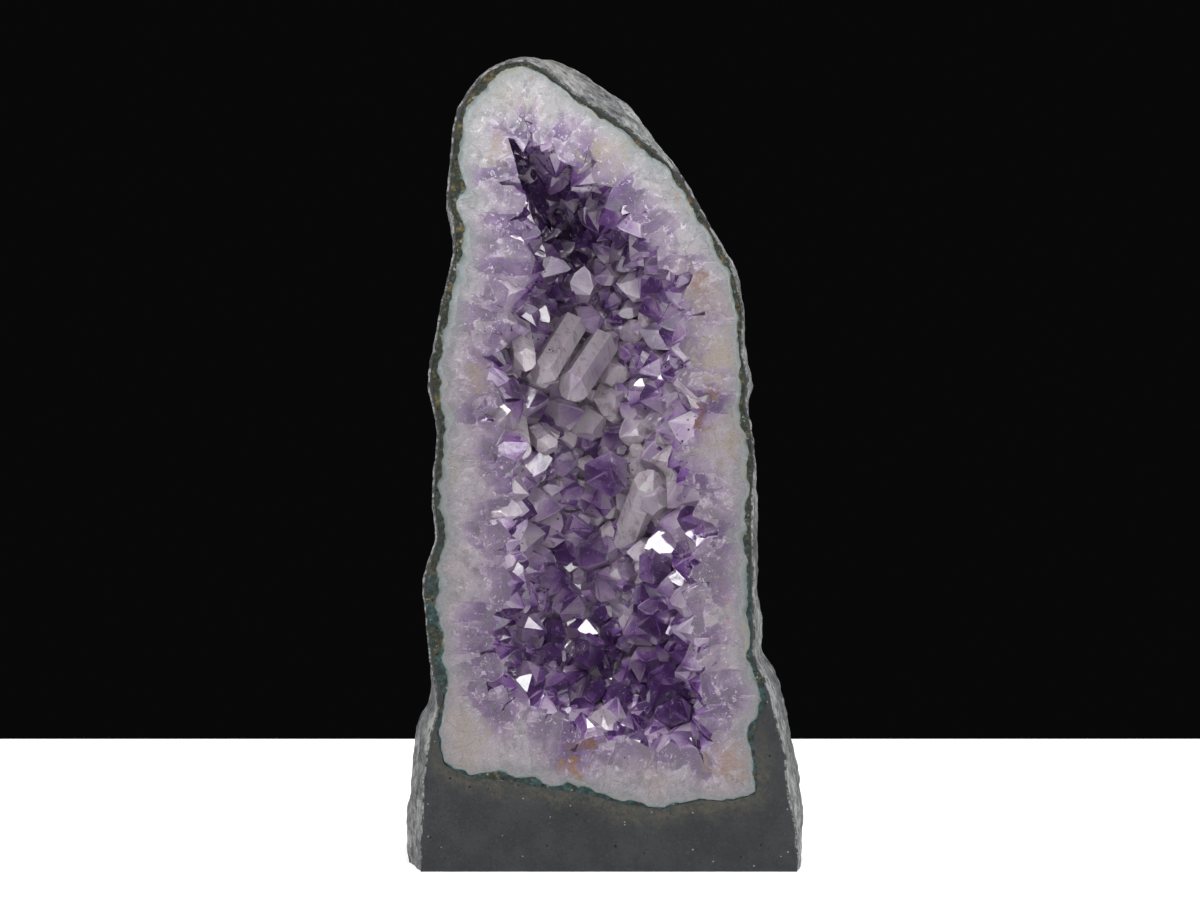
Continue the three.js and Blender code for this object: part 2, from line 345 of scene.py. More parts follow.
def combined(piece: bpy.types.Object, cut: Cut, others: list[bpy.types.Object]) -> bpy.types.Object:
    """Join a solid with others and drop them.

    Args:
        piece: the solid that is changed.
        cut: how they are joined.
        others: the solids that it is joined with.

    Returns:
        The changed solid, with a plain mesh.
    """
    group = bpy.data.collections.new("operands")
    bpy.context.scene.collection.children.link(group)
    for other in others:
        group.objects.link(other)
    modifier = piece.modifiers.new("joined", "BOOLEAN")
    modifier.solver = "MANIFOLD"
    modifier.operation = cut.value
    modifier.operand_type = "COLLECTION"
    modifier.collection = group
    settled(piece)
    bpy.data.collections.remove(group)
    discard(*others)
    return piece


def point_table(mesh: bpy.types.Mesh) -> np.ndarray:
    """Return a mesh's vertices as an (n, 3) array."""
    flat = np.empty(len(mesh.vertices) * 3, np.float32)
    mesh.vertices.foreach_get("co", flat)
    return flat.reshape(-1, 3).astype(float)


def corner_table(mesh: bpy.types.Mesh) -> np.ndarray:
    """Return the vertex number of each face corner."""
    corners = np.empty(len(mesh.loops), np.int32)
    mesh.loops.foreach_get("vertex_index", corners)
    return corners


def normal_table(mesh: bpy.types.Mesh) -> np.ndarray:
    """Return the (n, 3) normals of a mesh's faces."""
    normals = np.empty(len(mesh.polygons) * 3, np.float32)
    mesh.polygons.foreach_get("normal", normals)
    return normals.reshape(-1, 3)


def stored(mesh: bpy.types.Mesh, name: str) -> np.ndarray:
    """Return the values of a mesh's attribute of that name."""
    values = np.empty(len(mesh.attributes[name].data), np.float32)
    mesh.attributes[name].data.foreach_get("value", values)
    return values


def store(mesh: bpy.types.Mesh, name: str, kind: str, domain: str, values: np.ndarray) -> None:
    """Write an attribute on a mesh, replacing one of that name.

    Args:
        mesh: the mesh.
        name: the attribute's name.
        kind: FLOAT or FLOAT_VECTOR.
        domain: POINT, FACE or CORNER.
        values: one row for each element.
    """
    old = mesh.attributes.get(name)
    if old is not None:
        mesh.attributes.remove(old)
    made = mesh.attributes.new(name, kind, domain)
    made.data.foreach_set("vector" if kind == "FLOAT_VECTOR" else "value", values.astype(np.float32).ravel())


def islands(mesh: bpy.types.Mesh) -> np.ndarray:
    """Label each vertex with the number of the connected shell that it is in."""
    pairs = np.empty(len(mesh.edges) * 2, np.int32)
    mesh.edges.foreach_get("vertices", pairs)
    first, second = pairs[0::2], pairs[1::2]
    labels = np.arange(len(mesh.vertices))
    while True:
        lowest = np.minimum(labels[first], labels[second])
        fresh = labels.copy()
        np.minimum.at(fresh, first, lowest)
        np.minimum.at(fresh, second, lowest)
        fresh = fresh[fresh]
        if np.array_equal(fresh, labels):
            return labels
        labels = fresh


def keep_largest(mesh: bpy.types.Mesh) -> int:
    """Drop every shell of a mesh but the largest.

    Args:
        mesh: the mesh, which is changed.

    Returns:
        How many shells were dropped.
    """
    labels = islands(mesh)
    names, counts = np.unique(labels, return_counts=True)
    if len(names) == 1:
        return 0
    keep = names[np.argmax(counts)]
    bm = bmesh.new()
    bm.from_mesh(mesh)
    bm.verts.ensure_lookup_table()
    bmesh.ops.delete(bm, geom=[bm.verts[i] for i in np.flatnonzero(labels != keep)], context="VERTS")
    bm.to_mesh(mesh)
    bm.free()
    return len(names) - 1


def front_faces(mesh: bpy.types.Mesh) -> np.ndarray:
    """Tell which faces of a mesh lie in the sawn front, as an array of booleans."""
    centres = np.empty(len(mesh.polygons) * 3, np.float32)
    mesh.polygons.foreach_get("center", centres)
    return (normal_table(mesh)[:, 1] < -SQUARE_ON) & (np.abs(centres[1::3] - FRONT) < ON_FACE)


@dataclass(frozen=True)
class SawBlock:
    """The half space that the saw leaves: behind the front cut and above the base cut.

    Its front is a fine grid, so that the sawn face can carry the distances that
    its finish follows.
    """

    pitch: float
    half_width: float = 0.14
    height: float = 0.44
    depth: float = 0.20

    def build(self) -> bpy.types.Object:
        """Build the block as a closed solid."""
        across = round(2 * self.half_width / self.pitch)
        up = round(self.height / self.pitch)
        bm = bmesh.new()
        xs = np.linspace(-self.half_width, self.half_width, across + 1)
        zs = np.linspace(0.0, self.height, up + 1)
        grid = [[bm.verts.new((x, FRONT, z)) for x in xs] for z in zs]
        for low, high in zip(grid, grid[1:]):
            for i in range(across):
                bm.faces.new((low[i], low[i + 1], high[i + 1], high[i]))
        back = FRONT + self.depth
        corners = [bm.verts.new((x, back, z)) for x, z in (
            (xs[0], zs[0]), (xs[-1], zs[0]), (xs[-1], zs[-1]), (xs[0], zs[-1]))]
        left = [row[0] for row in grid]
        right = [row[-1] for row in grid]
        bm.faces.new(corners[::-1])
        bm.faces.new([*grid[0][::-1], corners[0], corners[1]])
        bm.faces.new([*grid[-1], corners[2], corners[3]])
        bm.faces.new([*left, corners[3], corners[0]])
        bm.faces.new([*right[::-1], corners[1], corners[2]])
        bmesh.ops.triangulate(bm, faces=[f for f in bm.faces if len(f.verts) > 4])
        bmesh.ops.recalc_face_normals(bm, faces=bm.faces)
        mesh = bpy.data.meshes.new("saw_block")
        bm.to_mesh(mesh)
        bm.free()
        return made_object("saw_block", mesh)


def wavy(points: np.ndarray, size: float, seed: float) -> np.ndarray:
    """Return smooth noise from -1 to 1 at (n, 2) points, with features of a size in metres."""
    return np.array([smooth_noise.noise(Vector((x / size, seed, z / size))) for x, z in points])


def blobs(points: np.ndarray, size: float, seed: float) -> np.ndarray:
    """Return rounded humps from 0 to 1 at (n, 2) points, with humps of a size in metres."""
    return np.array([
        1.0 - min(1.0, smooth_noise.voronoi(Vector((x / size, seed, z / size)))[0][0]) ** 2
        for x, z in points
    ])


@dataclass
class Lines:
    """The lines between the layers in the sawn front, measured on the CAD nodes.

    Every line has one point on each of a fan of directions that run from the
    rock's inner edge to the spine, so the lines never cross.
    """

    thinnest_skin: float = 1.1 * MM
    kept_skin: float = 3.5 * MM
    least_rind: float = 0.6 * MM
    least_band: float = 1.2 * MM
    least_quartz: float = 4 * MM
    wider_mouth: float = 7.5 * MM
    swelling_height: float = 128 * MM
    swelling_reach: float = 26 * MM
    swelling_width: float = 2.6 * MM
    lining: np.ndarray = field(init=False)
    towards: np.ndarray = field(init=False)
    step: float = field(init=False)
    celadonite: np.ndarray = field(init=False)
    chalcedony: np.ndarray = field(init=False)
    mouth: np.ndarray = field(init=False)

    def __post_init__(self) -> None:
        """Measure the lines."""
        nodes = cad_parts
        rock = sawn_loops(nodes["basalt_matrix"].data)
        raw = evenly(rock[1], SAMPLES_ROUND)
        towards = SPINE.at(raw[:, 1]) - raw
        towards /= np.linalg.norm(towards, axis=1)[:, None]
        skin = distance_to(raw, evenly(rock[0], 4 * SAMPLES_ROUND))
        thinned = softened(np.where(skin < self.kept_skin, skin - self.thinnest_skin, 0.0), 8.0)
        soft = softened(raw, 3.0) - towards * thinned[:, None]
        uneven = 0.45 * wavy(soft, 9 * MM, 3.1) + 0.25 * wavy(soft, 3.5 * MM, 8.7)
        edge = soft + towards * uneven[:, None] * MM
        self.lining = edge
        self.towards = towards
        self.step = float(np.linalg.norm(np.diff(edge, axis=0), axis=1).mean())
        rind = crossings(raw, towards, sawn_loops(nodes["celadonite_rind"].data)[1:])
        band = crossings(raw, towards, sawn_loops(nodes["chalcedony_band"].data)[1:])
        gap = crossings(raw, towards, sawn_loops(nodes["amethyst_druse"].data)[1:])
        rind = softened(rind, 4.0)
        band = softened(band, 4.0) - rind
        rind = rind * (0.80 + 0.75 * wavy(soft, 12 * MM, 21.0)) - 1.9 * MM + thinned
        rind = rind + 1.6 * MM * wavy(soft, 5.5 * MM, 5.0) + 0.9 * MM * blobs(soft, 3 * MM, 2.0) - 0.3 * MM
        # The rind swells low down on the left.
        from_middle = (soft[:, 1] - self.swelling_height) / self.swelling_reach
        swelling = np.exp(-from_middle ** 2) * (soft[:, 0] < 0)
        rind = np.maximum(rind, self.least_rind) + self.swelling_width * swelling
        band = band * (0.45 + 0.55 * wavy(soft, 10 * MM, 33.0)) + 1.6 * MM * wavy(soft, 3.6 * MM, 14.0)
        band = rind + np.maximum(band, self.least_band)
        gap = softened(gap, 9.0) - self.wider_mouth
        gap = np.maximum(gap, band + self.least_quartz)
        self.celadonite = edge + towards * rind[:, None]
        self.chalcedony = edge + towards * band[:, None]
        self.mouth = edge + towards * gap[:, None]


# --------------------------------------------------------------------------
# Node work
# --------------------------------------------------------------------------

Socket = bpy.types.NodeSocket
Tree = bpy.types.NodeTree


class Bench:
    """Adds nodes to one tree and joins them."""

    def __init__(self, tree: Tree) -> None:
        """Start work on a tree."""
        self.tree = tree

    def node(self, kind: str, inputs: dict | None = None, **settings: object) -> bpy.types.Node:
        """Add a node.

        Args:
            kind: the node's type.
            inputs: a socket to join, or a value, for each input by name or number.
            **settings: the node's own properties.

        Returns:
            The node.
        """
        made = self.tree.nodes.new(kind)
        for name, value in settings.items():
            setattr(made, name, value)
        for name, value in (inputs or {}).items():
            if isinstance(value, Socket):
                self.tree.links.new(value, made.inputs[name])
            else:
                made.inputs[name].default_value = value
        return made

    def feed(self, shader: bpy.types.Node, sockets: dict[str, Socket]) -> None:
        """Join a socket to each input of a shader that is named."""
        for name, socket in sockets.items():
            self.tree.links.new(socket, shader.inputs[name])

    def math(self, operation: str, first: object, second: object = 0.0, clamp: bool = False) -> Socket:
        """Return the output of a Math node of that operation."""
        made = self.node("ShaderNodeMath", {0: first, 1: second}, operation=operation, use_clamp=clamp)
        return made.outputs[0]

    def both(self, first: object, second: object) -> Socket:
        """Return the product of two values, so that both masks have to be there."""
        return self.math("MULTIPLY", first, second)

    def swayed(self, value: object, noise: object, reach: float) -> Socket:
        """Return a value pushed up and down by a noise of 0 to 1, by half the reach each way."""
        return self.math("ADD", value, self.both(self.math("SUBTRACT", noise, 0.5), reach))

    def height(self, where: Socket) -> Socket:
        """Return how high a place is above the table."""
        return self.node("ShaderNodeSeparateXYZ", {0: where}).outputs[2]

    def vector(self, operation: str, first: object, second: object) -> Socket:
        """Return the vector output of a Vector Math node of that operation."""
        return self.node("ShaderNodeVectorMath", {0: first, 1: second}, operation=operation).outputs[0]

    def mix(self, share: object, first: object, second: object, blend: str = "MIX") -> Socket:
        """Return a colour mixed from two by a share, with a blend type."""
        return self.node(
            "ShaderNodeMix", {0: share, 6: first, 7: second}, data_type="RGBA", blend_type=blend
        ).outputs[2]

    def span(self, value: object, low: float, high: float, start: object = 0.0, end: object = 1.0) -> Socket:
        """Return a value turned smoothly from the range low..high to the range start..end."""
        return self.node(
            "ShaderNodeMapRange",
            {"Value": value, "From Min": low, "From Max": high, "To Min": start, "To Max": end},
            interpolation_type="SMOOTHSTEP",
        ).outputs[0]

    def ramp(self, value: object, stops: list[tuple[float, Colour]]) -> Socket:
        """Return the colour of a ramp with the given stops."""
        made = self.node("ShaderNodeValToRGB", {0: value})
        elements = made.color_ramp.elements
        while len(elements) < len(stops):
            elements.new(0.5)
        for element, (place, colour) in zip(elements, stops):
            element.position = place
            element.color = colour
        return made.outputs[0]

    def noise(
        self, where: object, scale: float, detail: float = 3.0, rough: float = 0.55, warp: float = 0.0
    ) -> Socket:
        """Return the value of a Noise Texture."""
        return self.node(
            "ShaderNodeTexNoise",
            {"Vector": where, "Scale": scale, "Detail": detail, "Roughness": rough, "Distortion": warp},
        ).outputs[0]

    def voronoi(self, where: object, scale: float, feature: str = "F1") -> bpy.types.Node:
        """Return a Voronoi Texture node."""
        return self.node("ShaderNodeTexVoronoi", {"Vector": where, "Scale": scale}, feature=feature)

    def attribute(self, name: str) -> bpy.types.Node:
        """Return an Attribute node that reads a mesh attribute."""
        return self.node("ShaderNodeAttribute", attribute_name=name)

    def bump(self, height: object, depth: float) -> Socket:
        """Return a normal bumped by a height from 0 to 1 of a depth in metres."""
        return self.node("ShaderNodeBump", {"Height": height, "Distance": depth, "Strength": 1.0}).outputs[0]

    def effect(self, group: Tree, values: dict[str, object]) -> Socket:
        """Return the first output of a node group that is given values and sockets by name."""
        return self.node("ShaderNodeGroup", values, node_tree=group).outputs[0]

    def pits(self, where: Socket, scale: float, share: float, width: float) -> Socket:
        """Return the depth of small pits, 0 outside them."""
        return self.effect(EFFECTS.pits, {"Vector": where, "Scale": scale, "Share": share, "Width": width})


def shader_group(name: str, inputs: dict[str, str], output: str, kind: str) -> tuple[Bench, dict, Socket]:
    """Start a shader node group with one output.

    Args:
        name: the group's name.
        inputs: kind of each input by name.
        output: the output's name.
        kind: the output's kind.

    Returns:
        A bench on the group, its inputs by name, and the socket that its result goes into.
    """
    group = bpy.data.node_groups.new(name, "ShaderNodeTree")
    for label, sort in inputs.items():
        group.interface.new_socket(label, in_out="INPUT", socket_type=f"NodeSocket{sort}")
    group.interface.new_socket(output, in_out="OUTPUT", socket_type=f"NodeSocket{kind}")
    bench = Bench(group)
    given = bench.node("NodeGroupInput")
    out = bench.node("NodeGroupOutput")
    return bench, {label: given.outputs[label] for label in inputs}, out.inputs[output]


def geometry_tree(name: str, inputs: dict[str, str]) -> tuple[Bench, dict[str, Socket], Socket]:
    """Start a geometry node tree that takes and gives back a geometry.

    Args:
        name: the tree's name.
        inputs: kind of each input by name, beside the geometry.

    Returns:
        A bench on the tree, its inputs by name, and the socket that its result goes into.
    """
    tree = bpy.data.node_groups.new(name, "GeometryNodeTree")
    sorts = {"Geometry": "Geometry", **inputs}
    for label, sort in sorts.items():
        tree.interface.new_socket(label, in_out="INPUT", socket_type=f"NodeSocket{sort}")
    tree.interface.new_socket("Geometry", in_out="OUTPUT", socket_type="NodeSocketGeometry")
    bench = Bench(tree)
    given = bench.node("NodeGroupInput")
    out = bench.node("NodeGroupOutput")
    return bench, {label: given.outputs[label] for label in sorts}, out.inputs[0]


def run_tree(piece: bpy.types.Object, tree: Tree, values: dict[str, object]) -> bpy.types.Object:
    """Run a geometry node tree on an object and keep its result as a plain mesh."""
    modifier = piece.modifiers.new(tree.name, "NODES")
    modifier.node_group = tree
    for socket in tree.interface.items_tree:
        if socket.in_out == "INPUT" and socket.name in values:
            modifier[socket.identifier] = values[socket.name]
    return settled(piece)


class Effects:
    """Node groups that more than one finish uses, each built once."""

    def __init__(self) -> None:
        """Build the groups."""
        self.pits = self.pits_group()
        self.stain = self.stain_group()
        self.specks = self.specks_group()

    @staticmethod
    def pits_group() -> Tree:
        """Build small round pits of a size, in a share of the cells."""
        inputs = {"Vector": "Vector", "Scale": "Float", "Share": "Float", "Width": "Float"}
        bench, given, result = shader_group("stone_pits", inputs, "Pit", "Float")
        cells = bench.voronoi(given["Vector"], given["Scale"])
        chance = bench.node("ShaderNodeSeparateColor", {0: cells.outputs["Color"]}).outputs[0]
        picked = bench.math("LESS_THAN", chance, given["Share"])
        wide = bench.both(given["Width"], bench.math("ADD", 0.4, chance))
        reach = bench.math("DIVIDE", cells.outputs["Distance"], wide)
        inside = bench.math("SUBTRACT", 1.0, reach, clamp=True)
        bench.tree.links.new(bench.both(picked, inside), result)
        return bench.tree

    @staticmethod
    def stain_group() -> Tree:
        """Build patchy iron stain: a colour laid over another where a broken noise is high."""
        inputs = {"Vector": "Vector", "Colour": "Color"}
        inputs.update({name: "Float" for name in ("Scale", "Least", "Amount")})
        bench, given, result = shader_group("iron_stain", inputs, "Colour", "Color")
        patch = bench.noise(given["Vector"], given["Scale"], 6.0, 0.65, 0.6)
        high = bench.math("SUBTRACT", patch, given["Least"])
        mask = bench.both(bench.math("MULTIPLY", high, 9.0, clamp=True), given["Amount"])
        rust, ochre, umber = (0.30, 0.11, 0.045, 1), (0.47, 0.20, 0.05, 1), (0.16, 0.05, 0.03, 1)
        hue = bench.ramp(patch, [(0.5, rust), (0.66, ochre), (0.8, umber)])
        bench.tree.links.new(bench.mix(mask, given["Colour"], hue), result)
        return bench.tree

    @staticmethod
    def specks_group() -> Tree:
        """Build tiny dark grains of goethite, gathered where a broad noise is high."""
        inputs = {"Vector": "Vector", "Scale": "Float", "Amount": "Float"}
        bench, given, result = shader_group("dark_specks", inputs, "Mask", "Float")
        cells = bench.voronoi(given["Vector"], given["Scale"])
        dot = bench.span(cells.outputs["Distance"], 0.26, 0.16)
        gathered = bench.span(bench.noise(given["Vector"], 45.0, 2.0), 0.56, 0.66)
        bench.tree.links.new(bench.both(bench.both(dot, gathered), given["Amount"]), result)
        return bench.tree


EFFECTS = Effects()


def started(name: str) -> tuple[bpy.types.Material, Bench, bpy.types.Node, Socket]:
    """Start a material.

    Args:
        name: the material's name.

    Returns:
        The material, a bench on its nodes, its Principled shader, and Object coordinates.
    """
    material = bpy.data.materials.new(name)
    material.use_nodes = True
    bench = Bench(material.node_tree)
    shader = next(n for n in material.node_tree.nodes if n.type == "BSDF_PRINCIPLED")
    where = bench.node("ShaderNodeTexCoord").outputs["Object"]
    return material, bench, shader, where


def set_constants(shader: bpy.types.Node, values: dict[str, object]) -> None:
    """Set values on a shader's own sockets."""
    for name, value in values.items():
        shader.inputs[name].default_value = value


@dataclass(frozen=True)
class HonedBasalt:
    """The sawn and honed face of the basalt: dark, even, finely pitted, browned below the rind."""

    ground: Colour = (0.0205, 0.0215, 0.0235, 1)
    pale: Colour = (0.033, 0.0345, 0.037, 1)
    pale_grain: Colour = (0.062, 0.063, 0.064, 1)
    dark_grain: Colour = (0.010, 0.0105, 0.0115, 1)
    halo: Colour = (0.066, 0.064, 0.049, 1)
    rust: Colour = (0.100, 0.060, 0.036, 1)
    broken: Colour = (0.26, 0.26, 0.255, 1)
    fleck: Colour = (0.17, 0.18, 0.17, 1)
    pit: Colour = (0.004, 0.004, 0.0045, 1)
    roughness: float = 0.66
    relief: float = 0.6 * MM

    def browned(self, bench: Bench, where: Socket, height: Socket, colour: Socket) -> Socket:
        """Lay the brown halo that follows the rind, low down, over a colour."""
        lining = bench.attribute("lining_gap").outputs["Fac"]
        reach = bench.math("ADD", lining, bench.both(bench.noise(where, 130.0, 5.0, 0.7), -0.020))
        low = bench.span(height, 0.075, 0.045, 0.10, 0.62)
        halo = bench.both(bench.span(reach, 0.001, -0.008), low)
        speckle = bench.noise(where, 420.0, 4.0, 0.7)
        colour = bench.mix(bench.both(halo, bench.span(speckle, 0.38, 0.58, 0.15, 1.0)), colour, self.halo)
        return bench.mix(bench.both(halo, bench.span(speckle, 0.58, 0.68, 0.0, 0.7)), colour, self.rust)

    def material(self) -> bpy.types.Material:
        """Build the material."""
        material, bench, shader, where = started("honed_basalt")
        rim = bench.attribute("rim_gap").outputs["Fac"]
        height = bench.height(where)
        cloud = bench.noise(where, 75.0, 6.0, 0.7)
        grain = bench.noise(where, 900.0, 3.0, 0.7)
        colour = bench.mix(bench.span(cloud, 0.36, 0.68), self.ground, self.pale)
        colour = bench.mix(bench.span(grain, 0.58, 0.72, 0.0, 0.55), colour, self.pale_grain)
        colour = bench.mix(bench.span(grain, 0.44, 0.30, 0.0, 0.6), colour, self.dark_grain)
        colour = self.browned(bench, where, height, colour)
        flecks = bench.pits(where, 300.0, 0.09, 0.36)
        colour = bench.mix(bench.span(flecks, 0.0, 0.4), colour, self.fleck)
        edge = bench.both(bench.span(rim, 0.0012, 0.0004), bench.span(height, 0.003, 0.010))
        edge = bench.both(edge, bench.span(bench.noise(where, 340.0, 5.0, 0.75), 0.44, 0.62))
        colour = bench.mix(edge, colour, self.broken)
        dust = bench.both(bench.pits(where, 620.0, 0.30, 0.30), 0.7)
        holes = bench.math("MAXIMUM", bench.pits(where, 210.0, 0.20, 0.28), dust)
        colour = bench.mix(bench.span(holes, 0.0, 0.35, 0.0, 0.95), colour, self.pit)
        height_map = bench.math("SUBTRACT", bench.both(grain, 0.25), holes)
        bench.feed(shader, {
            "Base Color": colour,
            "Normal": bench.bump(height_map, self.relief),
            "Roughness": bench.span(cloud, 0.3, 0.7, self.roughness - 0.06, self.roughness + 0.1),
        })
        set_constants(shader, {"IOR": 1.5, "Specular IOR Level": 0.24})
        return material


@dataclass(frozen=True)
class RoughBasalt:
    """The broken and weathered outside of the basalt: facets, slanting marks, crumbs and holes."""

    low: Colour = (0.040, 0.042, 0.046, 1)
    ground: Colour = (0.135, 0.138, 0.143, 1)
    high: Colour = (0.37, 0.37, 0.365, 1)
    soil: Colour = (0.17, 0.145, 0.105, 1)
    chip: Colour = (0.58, 0.58, 0.56, 1)
    hole: Colour = (0.018, 0.019, 0.021, 1)
    slant: tuple[float, float, float] = (0.32, 0.22, 0.0)
    stretch: tuple[float, float, float] = (1.0, 1.0, 0.30)
    facets: tuple[float, float, float] = (62.0, 62.0, 40.0)
    roughness: float = 0.88
    relief: float = 2.4 * MM

    def material(self) -> bpy.types.Material:
        """Build the material."""
        material, bench, shader, where = started("rough_basalt")
        broad = bench.noise(where, 24.0, 6.0, 0.62)
        crumb = bench.noise(where, 210.0, 6.0, 0.72)
        grain = bench.noise(where, 950.0, 3.0, 0.65)
        slanted = bench.node("ShaderNodeMapping", {
            "Vector": where, "Rotation": self.slant, "Scale": self.stretch}).outputs[0]
        marks = bench.noise(slanted, 330.0, 5.0, 0.7, 0.6)
        bends = bench.noise(where, 70.0, 5.0, 0.65).node.outputs["Color"]
        ragged = bench.vector("ADD", bench.vector("MULTIPLY", where, self.facets), bends)
        broken = bench.voronoi(ragged, 1.0)
        facet = bench.node("ShaderNodeSeparateColor", {0: broken.outputs["Color"]}).outputs[0]
        tone = bench.math("ADD", bench.both(crumb, 0.42), bench.both(broad, 0.28))
        tone = bench.math("ADD", tone, bench.both(marks, 0.30))
        tone = bench.swayed(tone, facet, 0.085)
        colour = bench.ramp(tone, [(0.40, self.low), (0.49, self.ground), (0.60, self.high)])
        colour = bench.mix(bench.span(bench.noise(where, 17.0, 4.0), 0.57, 0.74, 0.0, 0.5), colour, self.soil)
        colour = bench.mix(bench.span(marks, 0.60, 0.72, 0.0, 0.55), colour, self.chip)
        colour = bench.mix(bench.span(grain, 0.60, 0.72, 0.0, 0.4), colour, self.chip)
        holes = bench.pits(where, 150.0, 0.20, 0.40)
        colour = bench.mix(bench.span(holes, 0.0, 0.45, 0.0, 0.9), colour, self.hole)
        height_map = bench.math("ADD", bench.both(crumb, 0.8), bench.both(marks, 0.7))
        height_map = bench.math("ADD", height_map, bench.both(grain, 0.25))
        for sunk in (broken.outputs["Distance"], holes):
            height_map = bench.math("SUBTRACT", height_map, bench.both(sunk, 0.9))
        bench.feed(shader, {"Base Color": colour, "Normal": bench.bump(height_map, self.relief)})
        set_constants(shader, {"Roughness": self.roughness, "IOR": 1.5, "Specular IOR Level": 0.25})
        return material


@dataclass(frozen=True)
class Celadonite:
    """The dark green rind: olive and brown blobs, with teal parts low down."""

    olive: Colour = (0.020, 0.026, 0.015, 1)
    brown: Colour = (0.120, 0.088, 0.032, 1)
    teal: Colour = (0.018, 0.050, 0.052, 1)
    seam: Colour = (0.007, 0.009, 0.007, 1)
    pale: Colour = (0.24, 0.27, 0.22, 1)
    inner: Colour = (0.15, 0.20, 0.19, 1)
    pit: Colour = (0.004, 0.005, 0.004, 1)
    roughness: float = 0.7
    relief: float = 1.8 * MM

    def material(self) -> bpy.types.Material:
        """Build the material."""
        material, bench, shader, where = started("celadonite")
        across = bench.attribute("across").outputs["Fac"]
        patch = bench.noise(where, 55.0, 4.0, 0.6)
        blob = bench.voronoi(where, 480.0, "SMOOTH_F1").outputs["Distance"]
        low = bench.span(bench.math("ADD", bench.height(where), bench.both(patch, 0.12)), 0.27, 0.17)
        warm = bench.noise(where, 170.0, 5.0, 0.7)
        bright = bench.noise(where, 330.0, 5.0, 0.7)
        colour = bench.mix(bench.span(warm, 0.50, 0.62), self.olive, self.brown)
        parts = bench.span(bench.noise(where, 80.0, 3.0), 0.36, 0.5)
        colour = bench.mix(bench.both(low, parts), colour, self.teal)
        colour = bench.mix(bench.span(blob, 0.2, 0.7, 0.0, 0.85), colour, self.seam)
        colour = bench.mix(bench.span(bright, 0.60, 0.70, 0.0, 0.75), colour, self.pale)
        within = bench.swayed(across, bright, 1.2)
        colour = bench.mix(bench.span(within, 0.85, 1.15, 0.0, 0.7), colour, self.inner)
        pits = bench.pits(where, 520.0, 0.36, 0.42)
        colour = bench.mix(bench.span(pits, 0.0, 0.4, 0.0, 0.9), colour, self.pit)
        height_map = bench.math("SUBTRACT", bench.math("SUBTRACT", 1.0, blob), pits)
        bench.feed(shader, {
            "Base Color": colour,
            "Normal": bench.bump(height_map, self.relief),
            "Roughness": bench.span(bright, 0.3, 0.7, self.roughness + 0.1, self.roughness - 0.25),
        })
        set_constants(shader, {"IOR": 1.55, "Specular IOR Level": 0.28})
        return material


@dataclass(frozen=True)
class Chalcedony:
    """The pale blue-grey band, waxy, that clears into the quartz."""

    outer: Colour = (0.125, 0.145, 0.135, 1)
    pale: Colour = (0.205, 0.232, 0.235, 1)
    inner: Colour = (0.29, 0.292, 0.297, 1)
    murk: Colour = (0.14, 0.18, 0.185, 1)
    blue: Colour = (0.32, 0.395, 0.415, 1)
    cream: Colour = (0.29, 0.275, 0.235, 1)
    # Painted shade: this colour darkens the band towards the bottom, between the two heights below, as if lit
    # from above.
    painted_low_shade: Colour = (0.68, 0.67, 0.68, 1)
    low_from: float = 0.37
    low_to: float = 0.17

    def material(self) -> bpy.types.Material:
        """Build the material."""
        material, bench, shader, where = started("chalcedony")
        across = bench.attribute("across").outputs["Fac"]
        wander = bench.noise(where, 180.0, 4.0, 0.6)
        fine = bench.noise(where, 900.0, 3.0, 0.6)
        place = bench.swayed(across, wander, 1.6)
        colour = bench.ramp(place, [(0.0, self.outer), (0.35, self.pale), (0.8, self.inner)])
        colour = bench.mix(bench.span(fine, 0.35, 0.65, 0.4, 0.0), colour, self.murk)
        streak = bench.noise(where, 260.0, 5.0, 0.7)
        colour = bench.mix(bench.span(streak, 0.54, 0.68, 0.0, 0.6), colour, self.blue)
        broad = bench.noise(where, 40.0, 4.0)
        colour = bench.mix(bench.span(broad, 0.52, 0.64, 0.0, 0.75), colour, self.cream)
        # Painted shade: darker towards the bottom, standing in for light that falls from above.
        low = bench.span(bench.height(where), self.low_from, self.low_to)
        colour = bench.mix(low, colour, self.painted_low_shade, "MULTIPLY")
        bench.feed(shader, {"Base Color": colour, "Normal": bench.bump(fine, 0.12 * MM)})
        set_constants(shader, {
            "Roughness": 0.38, "IOR": 1.54, "Subsurface Weight": 0.45,
            "Subsurface Radius": (1.0, 1.0, 1.0), "Subsurface Scale": 2.5 * MM,
        })
        return material


@dataclass(frozen=True)
class IronSpot:
    """One stained place: where it is across and up the druse, how far it reaches and its colour."""

    across: float
    up: float
    reach: float
    colour: Colour
    strength: float = 0.55

    def laid_over(self, bench: Bench, where: Socket, ragged: Socket, colour: Socket) -> Socket:
        """Lay the stain over a colour.

        Args:
            bench: the bench of the material.
            where: Object coordinates.
            ragged: a noise that breaks the stain's edge.
            colour: the colour under the stain.

        Returns:
            The stained colour.
        """
        low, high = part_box("amethyst_druse")
        middle = (low.x + (high.x - low.x) * self.across, FRONT, low.z + (high.z - low.z) * self.up)
        away = bench.node("ShaderNodeVectorMath", {0: where, 1: middle}, operation="DISTANCE")
        gap = bench.swayed(away.outputs["Value"], ragged, 4.5 * self.reach)
        return bench.mix(bench.span(gap, self.reach, 0.0, 0.0, self.strength), colour, self.colour)


